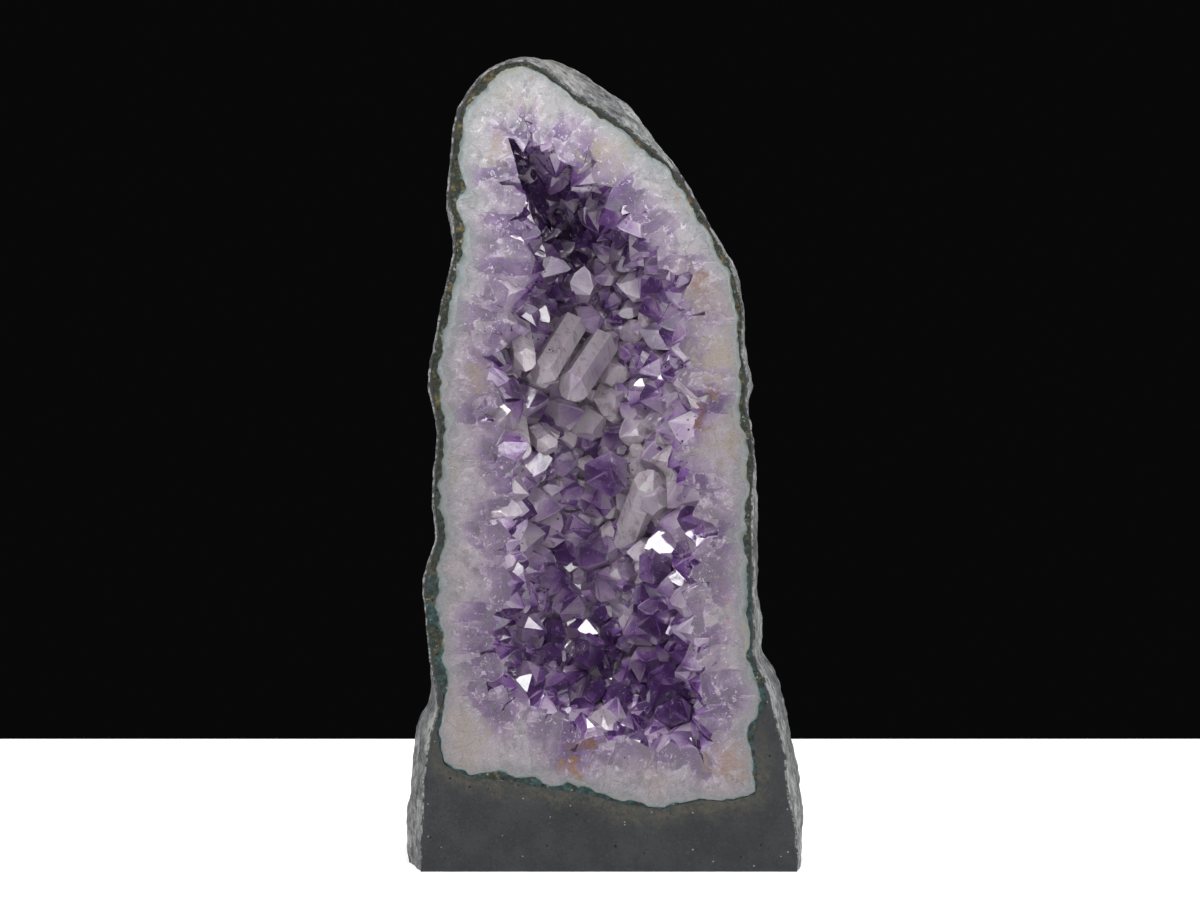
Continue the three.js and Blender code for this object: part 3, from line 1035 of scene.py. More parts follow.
IRON_SPOTS = (
    IronSpot(0.415, 0.035, 0.0075, (0.26, 0.13, 0.012, 1), 0.9),
    IronSpot(0.445, 0.070, 0.0075, (0.17, 0.055, 0.012, 1), 0.85),
    IronSpot(0.17, 0.905, 0.008, (0.36, 0.27, 0.18, 1), 0.45),
    IronSpot(0.52, 0.90, 0.013, (0.36, 0.31, 0.22, 1), 0.55),
    IronSpot(0.10, 0.585, 0.010, (0.36, 0.31, 0.23, 1), 0.55),
    IronSpot(0.84, 0.72, 0.007, (0.22, 0.10, 0.06, 1)),
    IronSpot(0.90, 0.61, 0.016, (0.37, 0.34, 0.27, 1), 0.8),
    IronSpot(0.93, 0.50, 0.016, (0.33, 0.29, 0.22, 1), 0.7),
    IronSpot(0.83, 0.53, 0.0075, (0.17, 0.055, 0.035, 1), 0.8),
    IronSpot(0.87, 0.565, 0.005, (0.17, 0.075, 0.045, 1), 0.8),
    IronSpot(0.93, 0.045, 0.012, (0.33, 0.24, 0.18, 1), 0.7),
    IronSpot(0.08, 0.075, 0.012, (0.36, 0.33, 0.27, 1), 0.7),
)


@dataclass(frozen=True)
class SawnQuartz:
    """The sawn face of the quartz: milky at the band, purple at the points, in columns along its growth."""

    milky: Colour = (0.370, 0.356, 0.372, 1)
    lilac: Colour = (0.300, 0.238, 0.325, 1)
    purple: Colour = (0.180, 0.112, 0.235, 1)
    deep: Colour = (0.100, 0.050, 0.150, 1)
    column: Colour = (0.25, 0.235, 0.255, 1)
    cream: Colour = (0.36, 0.325, 0.25, 1)
    dull: Colour = (0.150, 0.148, 0.158, 1)
    bright: Colour = (0.66, 0.65, 0.68, 1)
    edge: Colour = (0.56, 0.52, 0.60, 1)
    rind: Colour = (0.232, 0.250, 0.255, 1)
    crack: Colour = (0.14, 0.10, 0.095, 1)
    # Painted shade: this colour darkens the sawn quartz towards the bottom, between the two heights below, as
    # if lit from above.
    painted_low_shade: Colour = (0.66, 0.61, 0.645, 1)
    low_from: float = 0.385
    low_to: float = 0.23
    columns: tuple[float, float, float] = (118.0, 118.0, 36.0)
    fibres: tuple[float, float, float] = (620.0, 620.0, 120.0)
    relief: float = 0.4 * MM

    def material(self) -> bpy.types.Material:
        """Build the material."""
        material, bench, shader, where = started("sawn_quartz")
        inner = bench.attribute("inner_gap").outputs["Fac"]
        outer = bench.attribute("outer_gap").outputs["Fac"]
        growth = bench.attribute("growth").outputs["Vector"]
        fibre = bench.noise(bench.vector("MULTIPLY", growth, self.fibres), 1.0, 4.0, 0.65)
        bends = bench.noise(where, 95.0, 4.0, 0.5).node.outputs["Color"]
        bent = bench.vector("ADD", bench.vector("MULTIPLY", growth, self.columns), bends)
        lot = bench.node("ShaderNodeSeparateColor", {0: bench.voronoi(bent, 1.0).outputs["Color"]})
        seam = bench.voronoi(bent, 1.0, "DISTANCE_TO_EDGE").outputs["Distance"]
        cloud = bench.noise(where, 75.0, 4.0, 0.6)
        broad = bench.noise(where, 19.0, 2.0)
        murk = bench.noise(where, 150.0, 5.0, 0.68, 0.4)
        mottle = bench.noise(where, 460.0, 4.0, 0.7, 0.5)
        depth = bench.swayed(inner, lot.outputs[0], 0.015)
        depth = bench.swayed(depth, murk, 0.022)
        depth = bench.swayed(depth, broad, 0.026)
        stops = [(0.0, self.milky), (0.42, self.lilac), (0.8, self.purple), (1.0, self.deep)]
        colour = bench.ramp(bench.span(depth, 0.0190, -0.003), stops)
        colour = bench.mix(bench.span(lot.outputs[1], 0.0, 1.0, 0.0, 0.34), colour, self.column)
        colour = bench.mix(bench.span(murk, 0.52, 0.34, 0.0, 0.6), colour, self.dull)
        colour = bench.mix(bench.span(mottle, 0.45, 0.30, 0.0, 0.5), colour, self.dull)
        colour = bench.mix(bench.span(mottle, 0.56, 0.68, 0.0, 0.7), colour, self.bright)
        colour = bench.mix(bench.span(fibre, 0.54, 0.72, 0.0, 0.30), colour, self.bright)
        edges = bench.both(bench.span(seam, 0.045, 0.0), bench.span(murk, 0.44, 0.60, 0.0, 0.7))
        colour = bench.mix(bench.both(edges, bench.span(inner, 0.020, 0.008)), colour, self.edge)
        rind = bench.swayed(outer, murk, 0.016)
        colour = bench.mix(bench.span(rind, 0.0075, -0.001, 0.0, 0.8), colour, self.rind)
        colour = bench.mix(bench.span(broad, 0.56, 0.70, 0.0, 0.45), colour, self.cream)
        colour = bench.effect(EFFECTS.stain, {
            "Vector": where, "Colour": colour, "Scale": 34.0, "Least": 0.645, "Amount": 0.5})
        cracks = bench.voronoi(where, 62.0, "DISTANCE_TO_EDGE").outputs["Distance"]
        cracks = bench.both(bench.span(cracks, 0.016, 0.003), bench.span(cloud, 0.52, 0.62, 0.0, 0.5))
        colour = bench.mix(cracks, colour, self.crack)
        for spot in IRON_SPOTS:
            colour = spot.laid_over(bench, where, murk, colour)
        # Painted shade: darker towards the bottom, standing in for light that falls from above.
        low = bench.span(bench.height(where), self.low_from, self.low_to)
        colour = bench.mix(low, colour, self.painted_low_shade, "MULTIPLY")
        height_map = bench.math("ADD", bench.both(fibre, 0.35), bench.both(mottle, 0.8))
        height_map = bench.math("ADD", height_map, bench.span(seam, 0.05, 0.0, 0.0, -0.3))
        bench.feed(shader, {
            "Base Color": colour,
            "Normal": bench.bump(height_map, self.relief),
            "Roughness": bench.span(mottle, 0.3, 0.7, 0.40, 0.20),
        })
        set_constants(shader, {
            "IOR": 1.544, "Subsurface Weight": 0.45,
            "Subsurface Radius": (1.0, 0.85, 1.05), "Subsurface Scale": 2.2 * MM,
        })
        return material


@dataclass(frozen=True)
class Amethyst:
    """The grown crystals: pale at the root, purple to the point, glassy."""

    root: Colour = (0.56, 0.485, 0.575, 1)
    lilac: Colour = (0.44, 0.310, 0.50, 1)
    purple: Colour = (0.225, 0.105, 0.335, 1)
    deep: Colour = (0.088, 0.034, 0.145, 1)
    grey: Colour = (0.80, 0.745, 0.765, 1)
    shade: Colour = (0.40, 0.31, 0.35, 1)
    pale_wisp: Colour = (0.76, 0.72, 0.77, 1)
    dark_wisp: Colour = (0.10, 0.055, 0.14, 1)
    speck: Colour = (0.02, 0.012, 0.018, 1)
    relief: float = 0.2 * MM
    transmission: float = 0.26
    milk: float = 0.0
    name: str = "amethyst_points"

    def material(self) -> bpy.types.Material:
        """Build the material."""
        material, bench, shader, where = started(self.name)
        names = ("rise", "tone", "milk", "facet", "prism")
        rise, tone, milk, facet, prism = (bench.attribute(name).outputs["Fac"] for name in names)
        cloud = bench.noise(where, 210.0, 4.0, 0.6)
        broad = bench.noise(where, 60.0, 2.0)
        level = bench.swayed(bench.swayed(rise, cloud, 0.7), tone, 0.9)
        # Painted reflection: each face is made lighter or darker by its own random facet value, standing in
        # for light glinting inside the crystal.
        level = bench.math("ADD", level, bench.both(facet, 0.34))
        stops = [(0.05, self.root), (0.40, self.lilac), (0.72, self.purple), (1.0, self.deep)]
        colour = bench.ramp(level, stops)
        veil = bench.math("ADD", bench.swayed(milk, broad, 0.5), self.milk)
        colour = bench.mix(bench.span(veil, 0.25, 0.9, 0.0, 0.84), colour, self.grey)
        inside = bench.noise(bench.vector("MULTIPLY", where, (1.0, 1.0, 0.6)), 120.0, 5.0, 0.7, 1.5)
        murk = bench.both(bench.span(inside, 0.50, 0.36, 0.0, 0.75), bench.span(veil, 0.3, 0.8))
        colour = bench.mix(murk, colour, self.shade)
        wisps = bench.noise(where, 330.0, 5.0, 0.7, 1.2)
        colour = bench.mix(bench.span(wisps, 0.57, 0.70, 0.0, 0.5), colour, self.pale_wisp)
        colour = bench.mix(bench.span(wisps, 0.43, 0.30, 0.0, 0.4), colour, self.dark_wisp)
        colour = bench.effect(EFFECTS.stain, {
            "Vector": where, "Colour": colour, "Scale": 62.0, "Least": 0.655, "Amount": 0.55})
        specks = bench.effect(EFFECTS.specks, {"Vector": where, "Scale": 340.0, "Amount": 0.97})
        colour = bench.mix(specks, colour, self.speck)
        # Growth lines run across the prism faces only.
        lines = bench.node(
            "ShaderNodeTexNoise", {"Scale": 1.0, "Detail": 2.0, "W": bench.both(rise, 26.0)},
            noise_dimensions="1D",
        ).outputs[0]
        uneven = bench.both(bench.noise(where, 260.0, 3.0), 0.65)
        height_map = bench.math("ADD", bench.both(bench.both(lines, prism), 1.8), uneven)
        bench.feed(shader, {
            "Base Color": colour,
            "Normal": bench.bump(height_map, self.relief),
            "Roughness": bench.span(cloud, 0.35, 0.7, 0.05, 0.16),
        })
        set_constants(shader, {
            "IOR": 1.544, "Specular IOR Level": 1.0, "Coat Weight": 0.8, "Coat Roughness": 0.02,
            "Transmission Weight": self.transmission,
            "Subsurface Weight": 0.6, "Subsurface Radius": (1.0, 0.7, 1.1), "Subsurface Scale": 3 * MM,
        })
        return material


# --------------------------------------------------------------------------
# The rock
# --------------------------------------------------------------------------


@dataclass
class Boulder:
    """The basalt around the geode: a weathered boulder, sawn at its front and base."""

    allowance: float = 12 * MM
    voxel: float = 1.9 * MM
    smoothing: int = 14
    pitch: float = 1.6 * MM
    lump_height: float = 3.4 * MM
    crumb_height: float = 1.8 * MM
    mean_rise: float = 1.75 * MM
    clearance: float = 0.1 * MM
    sawn_depth: float = 25 * MM
    far: float = 0.1
    sharp_angle: float = math.radians(38)

    def rough_blank(self) -> bpy.types.Object:
        """Take the CAD rock's outer skin, carry it past both cuts and close it."""
        bm = bmesh.new()
        bm.from_mesh(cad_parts["basalt_matrix"].data)
        bmesh.ops.remove_doubles(bm, verts=bm.verts, dist=WELD)
        front = [f for f in bm.faces if all(v.co.y - FRONT < ON_FACE for v in f.verts)]
        bmesh.ops.delete(bm, geom=front, context="FACES")
        deepest = max(bm.verts, key=lambda v: v.co.y)
        outside = {deepest}
        edge_of_reach = [deepest]
        while edge_of_reach:
            here = edge_of_reach.pop()
            for edge in here.link_edges:
                other = edge.other_vert(here)
                if other not in outside:
                    outside.add(other)
                    edge_of_reach.append(other)
        bmesh.ops.delete(bm, geom=[v for v in bm.verts if v not in outside], context="VERTS")
        for vert in bm.verts:
            if vert.co.z < ON_FACE:
                vert.co.z -= self.allowance
        rim = [e for e in bm.edges if e.is_boundary]
        carried = bmesh.ops.extrude_edge_only(bm, edges=rim)["geom"]
        for vert in (g for g in carried if isinstance(g, bmesh.types.BMVert)):
            vert.co.y -= self.allowance
        bmesh.ops.holes_fill(bm, edges=[e for e in bm.edges if e.is_boundary])
        bmesh.ops.triangulate(bm, faces=[f for f in bm.faces if len(f.verts) > 4])
        bmesh.ops.recalc_face_normals(bm, faces=bm.faces)
        mesh = bpy.data.meshes.new("boulder")
        bm.to_mesh(mesh)
        bm.free()
        return made_object("basalt", mesh)

    def weathering(self) -> Tree:
        """Build the tree that roughens the boulder's surface."""
        inputs = {"Lump Height": "Float", "Crumb Height": "Float"}
        bench, given, result = geometry_tree("rock_weathering", inputs)
        where = bench.node("GeometryNodeInputPosition").outputs[0]
        normal = bench.node("GeometryNodeInputNormal").outputs[0]
        lumps = bench.noise(where, 34.0, 3.0, 0.5, 0.4)
        crumbs = bench.noise(where, 130.0, 4.0, 0.62)
        chips = bench.voronoi(bench.vector("MULTIPLY", where, (1.0, 1.0, 1.7)), 95.0).outputs["Distance"]
        rise = bench.both(lumps, given["Lump Height"])
        small = bench.both(crumbs, given["Crumb Height"])
        chip = bench.both(bench.both(chips, -0.6), given["Crumb Height"])
        lift = bench.math("ADD", bench.math("ADD", rise, small), chip)
        lift = bench.math("SUBTRACT", lift, self.mean_rise)
        offset = bench.node("ShaderNodeVectorMath", {0: normal, "Scale": lift}, operation="SCALE").outputs[0]
        moved = bench.node("GeometryNodeSetPosition", {"Geometry": given["Geometry"], "Offset": offset})
        bench.tree.links.new(moved.outputs[0], result)
        return bench.tree

    def build(self, lines: Lines) -> bpy.types.Object:
        """Build the rock.

        Args:
            lines: the lines between the layers.

        Returns:
            The rock piece.
        """
        rock = self.rough_blank()
        remesh = rock.modifiers.new("remesh", "REMESH")
        remesh.mode = "VOXEL"
        remesh.voxel_size = self.voxel
        smooth = rock.modifiers.new("smooth", "SMOOTH")
        smooth.factor = 0.5
        smooth.iterations = self.smoothing
        settled(rock)
        run_tree(rock, self.weathering(), {
            "Lump Height": self.lump_height, "Crumb Height": self.crumb_height})
        rock.data.shade_smooth()
        combined(rock, Cut.INTERSECT, [SawBlock(self.pitch).build()])
        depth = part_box("celadonite_rind")[1].y - FRONT + 4 * self.clearance
        pocket = Bowl(lines.lining - lines.towards * self.clearance, depth)
        cutter = made_object("pocket", mesh_from_rings("pocket", pocket.rings(14, 5 * MM)))
        combined(rock, Cut.DIFFERENCE, [cutter])
        keep_largest(rock.data)
        self.dress(rock, lines)
        return rock

    def dress(self, rock: bpy.types.Object, lines: Lines) -> None:
        """Give the rock its edge distances and its two finishes."""
        mesh = rock.data
        outline = evenly(sawn_loops(mesh)[0], 4 * SAMPLES_ROUND)
        points = point_table(mesh)
        flat = points[:, [0, 2]]
        forward = points[:, 1] - FRONT < self.sawn_depth
        rim = np.full(len(points), self.far)
        lining = np.full(len(points), self.far)
        rim[forward] = distance_to(flat[forward], outline)
        lining[forward] = distance_to(flat[forward], lines.lining)
        store(mesh, "rim_gap", "FLOAT", "POINT", rim)
        store(mesh, "lining_gap", "FLOAT", "POINT", lining)
        mesh.materials.clear()
        mesh.materials.append(RoughBasalt().material())
        mesh.materials.append(HonedBasalt().material())
        sawn = front_faces(mesh) | (normal_table(mesh)[:, 2] < -SQUARE_ON)
        mesh.polygons.foreach_set("material_index", sawn.astype(np.int32))
        mesh.set_sharp_from_angle(angle=self.sharp_angle)


# --------------------------------------------------------------------------
# The rind and the band
# --------------------------------------------------------------------------


@dataclass
class Layer:
    """A thin shell between two bowls, with its sawn edge in the front."""

    name: str
    outer: Bowl
    inner: Bowl
    face_rows: int
    wall_rows: int = 9
    relief: float = 0.0
    relief_size: float = 2.4 * MM
    sharp_angle: float = math.radians(50)

    def build(self) -> bpy.types.Object:
        """Build the shell with a share across it, from 0 outside to 1 inside."""
        outside = self.outer.rings(self.wall_rows)[::-1]
        inside = self.inner.rings(self.wall_rows)
        rings = list(outside)
        across = [0.0] * len(outside)
        for row in range(1, self.face_rows):
            share = row / self.face_rows
            ring = outside[-1] * (1 - share) + inside[0] * share
            if self.relief > 0:
                flat = ring[:, [0, 2]]
                hump = 0.7 * blobs(flat, self.relief_size, 4.0)
                hump += 0.3 * wavy(flat, self.relief_size * 0.5, 1.0)
                ring[:, 1] += self.relief * (1.0 - hump) * min(1.0, 4 * share, 4 * (1 - share))
            rings.append(ring)
            across.append(share)
        rings += inside
        across += [1.0] * len(inside)
        piece = made_object(self.name, mesh_from_rings(self.name, rings))
        store(piece.data, "across", "FLOAT", "POINT", np.repeat(across, len(rings[0])))
        piece.data.shade_smooth()
        piece.data.set_sharp_from_angle(angle=self.sharp_angle)
        return piece


@dataclass
class Linings:
    """The celadonite rind and the chalcedony band inside it."""

    seam: float = 0.02 * MM
    floor: float = 0.2 * MM
    rind_relief: float = 0.5 * MM

    def build(self, lines: Lines) -> dict[str, bpy.types.Object]:
        """Build both layers.

        Args:
            lines: the lines between the layers.

        Returns:
            The two pieces by name.
        """
        rind_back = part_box("celadonite_rind")[1].y - FRONT
        band_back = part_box("chalcedony_band")[1].y - FRONT
        druse_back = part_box("amethyst_druse")[1].y - FRONT
        step = lines.towards * self.seam
        rind = Layer(
            "celadonite", Bowl(lines.lining, rind_back), Bowl(lines.celadonite, band_back + self.floor),
            face_rows=9, relief=self.rind_relief,
        ).build()
        band = Layer(
            "chalcedony", Bowl(lines.celadonite + step, band_back),
            Bowl(lines.chalcedony, druse_back + self.floor), face_rows=6,
        ).build()
        rind.data.materials.append(Celadonite().material())
        band.data.materials.append(Chalcedony().material())
        return {"celadonite": rind, "chalcedony": band}


# --------------------------------------------------------------------------
# The druse
# --------------------------------------------------------------------------


@dataclass
class CrystalShape:
    """One quartz crystal of unit radius: an uneven six-sided prism under an uneven point."""

    seed: int
    stand: float = 0.5
    root: float = -1.7
    slope: float = 1.22

    def planes(self) -> list[tuple[Vector, float]]:
        """List the crystal's faces as outward normals and distances."""
        draw = random.Random(self.seed)
        planes = [(Vector((0, 0, -1)), -self.root)]
        strong = draw.randrange(2)
        for side in range(6):
            turn = side * math.pi / 3
            out = Vector((math.cos(turn), math.sin(turn), 0.0))
            planes.append((out, 0.866 * draw.uniform(0.82, 1.08)))
            tilt = Vector((out.x * self.slope, out.y * self.slope, 0.866)).normalized()
            share = draw.uniform(0.80, 0.98) if side % 2 == strong else draw.uniform(0.98, 1.22)
            planes.append((tilt, tilt.z * (self.stand + self.slope * share)))
        return planes

    def build(self) -> bpy.types.Object:
        """Build the crystal as a small solid with rise and prism attributes."""
        planes = self.planes()
        corners = []
        for i, (a, da) in enumerate(planes):
            for j in range(i + 1, len(planes)):
                for k in range(j + 1, len(planes)):
                    b, db = planes[j]
                    c, dc = planes[k]
                    volume = a.dot(b.cross(c))
                    if abs(volume) < 1e-5:
                        continue
                    point = (b.cross(c) * da + c.cross(a) * db + a.cross(b) * dc) / volume
                    if all(n.dot(point) < d + 1e-4 for n, d in planes):
                        corners.append(point)
        bm = bmesh.new()
        for point in corners:
            bm.verts.new(point)
        bmesh.ops.remove_doubles(bm, verts=bm.verts, dist=0.02)
        bmesh.ops.convex_hull(bm, input=bm.verts)
        loose = [v for v in bm.verts if not v.link_faces]
        bmesh.ops.delete(bm, geom=loose, context="VERTS")
        bmesh.ops.recalc_face_normals(bm, faces=bm.faces)
        mesh = bpy.data.meshes.new(f"crystal_{self.seed}")
        bm.to_mesh(mesh)
        bm.free()
        points = point_table(mesh)
        store(mesh, "rise", "FLOAT", "POINT", np.clip(points[:, 2] / points[:, 2].max(), 0, 1))
        store(mesh, "prism", "FLOAT", "FACE", np.array([float(abs(p.normal.z) < 0.3) for p in mesh.polygons]))
        return bpy.data.objects.new(f"crystal_{self.seed}", mesh)


@dataclass
class CrystalBed:
    """Crystals strewn over the cavity's wall by geometry nodes."""

    name: str
    spacing: float
    radius_low: float
    radius_high: float
    tilt: float
    seed: int
    shapes: list[CrystalShape]
    density: float = 60000.0

    def tree(self, shapes: bpy.types.Collection) -> Tree:
        """Build the tree that strews the crystals.

        Args:
            shapes: the collection of crystal shapes that are picked from.

        Returns:
            The geometry node tree.
        """
        bench, given, result = geometry_tree(self.name, {
            "Spacing": "Float", "Radius Low": "Float", "Radius High": "Float", "Tilt": "Float",
            "Seed": "Int", "Finish": "Material"})
        strewn = bench.node("GeometryNodeDistributePointsOnFaces", {
            "Mesh": given["Geometry"], "Distance Min": given["Spacing"],
            "Density Max": self.density, "Seed": given["Seed"]}, distribute_method="POISSON")
        lean, back = given["Tilt"], bench.both(given["Tilt"], -1.0)
        low = bench.node("ShaderNodeCombineXYZ", {0: back, 1: back, 2: 0.0}).outputs[0]
        high = bench.node("ShaderNodeCombineXYZ", {0: lean, 1: lean, 2: math.tau}).outputs[0]
        turned = bench.node("FunctionNodeRandomValue", {0: low, 1: high, "Seed": 3}, data_type="FLOAT_VECTOR")
        spin = bench.node("FunctionNodeEulerToRotation", {0: turned.outputs[0]}).outputs[0]
        facing = bench.node("FunctionNodeRotateRotation", {
            0: strewn.outputs["Rotation"], 1: spin}, rotation_space="LOCAL")
        size = bench.node("FunctionNodeRandomValue", {
            2: given["Radius Low"], 3: given["Radius High"], "Seed": 8}, data_type="FLOAT")
        pick = bench.node("FunctionNodeRandomValue", {
            4: 0, 5: len(self.shapes) - 1, "Seed": 5}, data_type="INT")
        picked = bench.node("GeometryNodeCollectionInfo", {0: shapes, 1: True, 2: True})
        placed = bench.node("GeometryNodeInstanceOnPoints", {
            "Points": strewn.outputs["Points"], "Instance": picked.outputs[0], "Pick Instance": True,
            "Instance Index": pick.outputs[2], "Rotation": facing.outputs[0], "Scale": size.outputs[1]})
        solid = bench.node("GeometryNodeRealizeInstances", {0: placed.outputs[0]})
        dressed = bench.node("GeometryNodeSetMaterial", {
            "Geometry": solid.outputs[0], "Material": given["Finish"]})
        bench.tree.links.new(dressed.outputs[0], result)
        return bench.tree

    def build(self, wall: bpy.types.Mesh, finish: bpy.types.Material) -> bpy.types.Object:
        """Strew the crystals over a wall.

        Args:
            wall: the cavity's wall, its faces pointing into the cavity.
            finish: the crystals' material.

        Returns:
            One object with every crystal of the bed.
        """
        shapes = bpy.data.collections.new(f"{self.name}_shapes")
        made = [shape.build() for shape in self.shapes]
        for piece in made:
            shapes.objects.link(piece)
        bed = made_object(self.name, wall.copy())
        run_tree(bed, self.tree(shapes), {
            "Spacing": self.spacing, "Radius Low": self.radius_low, "Radius High": self.radius_high,
            "Tilt": self.tilt, "Seed": self.seed, "Finish": finish})
        discard(*made)
        bpy.data.collections.remove(shapes)
        return bed


@dataclass(frozen=True)
class Prism:
    """One large listed crystal: where its root is, where it points and how big it is."""

    root: tuple[float, float, float]
    points_to: tuple[float, float, float]
    radius: float
    length: float
    milk: float = 0.0
    tone: float = 0.5
    facing: Facing = Facing.GROWN


@dataclass(frozen=True)
class Patch:
    """A round place in the druse, in millimetres, that fades out over its reach."""

    x: float
    z: float
    reach: float
    strength: float

    def at(self, x: float, z: float) -> float:
        """Return how strong the patch is at a place."""
        square = (x - self.x * MM) ** 2 + (z - self.z * MM) ** 2
        return self.strength * math.exp(-square / (2 * (self.reach * MM) ** 2))


@dataclass
class Druse:
    """The quartz lining: a shell with crystals grown out of it, sawn at the front."""

    cavity_depth: float = 84 * MM
    forward: float = 14 * MM
    pitch: float = 1.0 * MM
    seam: float = 0.02 * MM
    wall_rows: int = 12
    back_rows: int = 5
    middle_tone: float = 0.42
    middle_tone_z: float = 0.17
    tone_fall: float = 0.5
    tone_spread: tuple[float, float] = (0.0, 0.24)
    milk_spread: tuple[float, float] = (0.05, 0.30)
    most_tone: float = 1.3
    most_milk: float = 1.0
    seed: int = 5
    contour_height: float = 15 * MM
    beds: tuple[CrystalBed, ...] = (
        CrystalBed("large_bed", 14.5 * MM, 6.6 * MM, 12.0 * MM, 0.48, 11,
                   [CrystalShape(seed, 0.55) for seed in range(1, 9)]),
        CrystalBed("small_bed", 8.2 * MM, 3.6 * MM, 6.6 * MM, 0.6, 23,
                   [CrystalShape(seed, 1.0) for seed in range(11, 19)]),
    )
    crevice_place: tuple[float, float] = (-31 * MM, 331 * MM)
    crevice_size: tuple[float, float, float] = (7.5 * MM, 48 * MM, 30 * MM)
    crevice_lean: float = math.radians(-26)
    crevice_unevenness: float = 0.35
    pale_patches: tuple[Patch, ...] = (Patch(-20, 245, 26, 0.66), Patch(16, 180, 30, 0.66))
    # Dark patches make the crystals more purple; the first, at the crown beside the crevice, is also painted
    # shade of the deep crown.
    dark_and_shaded_patches: tuple[Patch, ...] = (Patch(-18, 315, 24, 0.8), Patch(-12, 110, 34, 0.42))
    prisms: tuple[Prism, ...] = (
        Prism((-44, 44, 268), (0.15, -0.80, -0.70), 7, 34, 0.95, 0.4, Facing.CLEAR),
        Prism((-16, 70, 272), (-0.45, -0.80, -0.78), 8, 50, 0.85, 0.4, Facing.CLEAR),
        Prism((-1, 74, 262), (-0.48, -0.80, -0.74), 9, 48, 0.6, 0.5, Facing.CLEAR),
        Prism((-45, 46, 222), (0.12, -0.75, -0.62), 6, 32, 0.95, 0.4, Facing.CLEAR),
        Prism((-34, 56, 216), (0.25, -1, -0.3), 6, 30, 0.7, 0.5, Facing.CLEAR),
        Prism((0, 88, 192), (0.05, -1, 0.1), 12.5, 40, 0.35, 0.55),
        Prism((11, 80, 160), (0.32, -0.75, 0.86), 8, 52, 1.0, 0.3, Facing.CLEAR),
        Prism((28, 78, 146), (-0.1, -1, 0.1), 11, 36, 0.35, 0.6),
        Prism((32, 76, 120), (-0.25, -1, 0.1), 12, 36, 0.3, 0.6),
        Prism((38, 66, 82), (-0.3, -1, 0.2), 13, 40, 0.0, 0.95),
        Prism((42, 56, 66), (-0.4, -1, 0.5), 10, 36, 0.0, 0.8),
        Prism((-10, 86, 98), (0.1, -1, 0.3), 10, 34, 0.1, 0.8),
        Prism((-60, 16, 322), (0.48, -0.40, -0.80), 12, 46, 0.6, 0.45),
        Prism((28, 74, 176), (-0.1, -1, 0.25), 8, 34, 0.7, 0.5),
    )

    @staticmethod
    def marked(mesh: bpy.types.Mesh, draw: random.Random, milk: float, tone: float, kind: Facing) -> None:
        """Write one crystal's attributes.

        Args:
            mesh: the crystal.
            draw: the random numbers for its faces.
            milk: how milky it is.
            tone: how purple it is.
            kind: its finish.
        """
        faces = len(mesh.polygons)
        store(mesh, "tone", "FLOAT", "FACE", np.full(faces, tone))
        store(mesh, "milk", "FLOAT", "FACE", np.full(faces, milk))
        store(mesh, "kind", "FLOAT", "FACE", np.full(faces, float(kind.value)))
        # Painted reflection: a random value for each face that the crystals' finish adds to their colour,
        # standing in for light glinting inside.
        store(mesh, "facet", "FLOAT", "FACE", np.array([draw.uniform(-1, 1) for _ in range(faces)]))

    def single(self, bed: bpy.types.Object, draw: random.Random) -> list[bpy.types.Object]:
        """Split a bed into one solid for each crystal and mark them.

        Args:
            bed: all the crystals of a bed, which is dropped.
            draw: the random numbers for tones.

        Returns:
            The crystals.
        """
        mesh = bed.data
        points = point_table(mesh)
        labels = islands(mesh)
        rise = stored(mesh, "rise")
        prism = stored(mesh, "prism")
        triangles = corner_table(mesh).reshape(-1, 3)
        of_face = labels[triangles[:, 0]]
        crystals = []
        for label in np.unique(labels):
            members = np.flatnonzero(labels == label)
            faces = np.flatnonzero(of_face == label)
            renumber = {int(v): i for i, v in enumerate(members)}
            own = [[renumber[int(v)] for v in triangles[f]] for f in faces]
            small = bpy.data.meshes.new("crystal")
            small.from_pydata(points[members].tolist(), [], own)
            store(small, "rise", "FLOAT", "CORNER", rise[triangles[faces]].ravel())
            store(small, "prism", "FLOAT", "FACE", prism[faces])
            x, _, z = points[members].mean(axis=0)
            milk = sum(patch.at(x, z) for patch in self.pale_patches) + draw.gauss(*self.milk_spread)
            tone = self.middle_tone + self.tone_fall * (self.middle_tone_z - z)
            # The dark patches deepen the purple, and at the crown they are also painted shade.
            tone += sum(patch.at(x, z) for patch in self.dark_and_shaded_patches) + draw.gauss(*self.tone_spread)
            milk = min(self.most_milk, max(0.0, milk))
            tone = min(self.most_tone, max(0.0, tone))
            self.marked(small, draw, milk, tone, Facing.GROWN)
            crystals.append(made_object("crystal", small))
        discard(bed)
        return crystals

    def large_prisms(self, draw: random.Random) -> list[bpy.types.Object]:
        """Build the large crystals that are listed one by one."""
        crystals = []
        for number, prism in enumerate(self.prisms):
            stand = prism.length / prism.radius - 1.2
            shape = CrystalShape(41 + number, stand, 0.0).build()
            along = Vector(prism.points_to).normalized()
            place = Vector(((prism.root[0] + 0.5) * MM, prism.root[1] * MM + FRONT, prism.root[2] * MM))
            turn = along.to_track_quat("Z", "Y").to_matrix().to_4x4()
            mesh = shape.data
            store(mesh, "rise", "FLOAT", "CORNER", stored(mesh, "rise")[corner_table(mesh)])
            mesh.transform(Matrix.Translation(place) @ turn @ Matrix.Scale(prism.radius * MM, 4))
            self.marked(mesh, draw, prism.milk, prism.tone, prism.facing)
            bpy.context.scene.collection.objects.link(shape)
            crystals.append(shape)
        return crystals

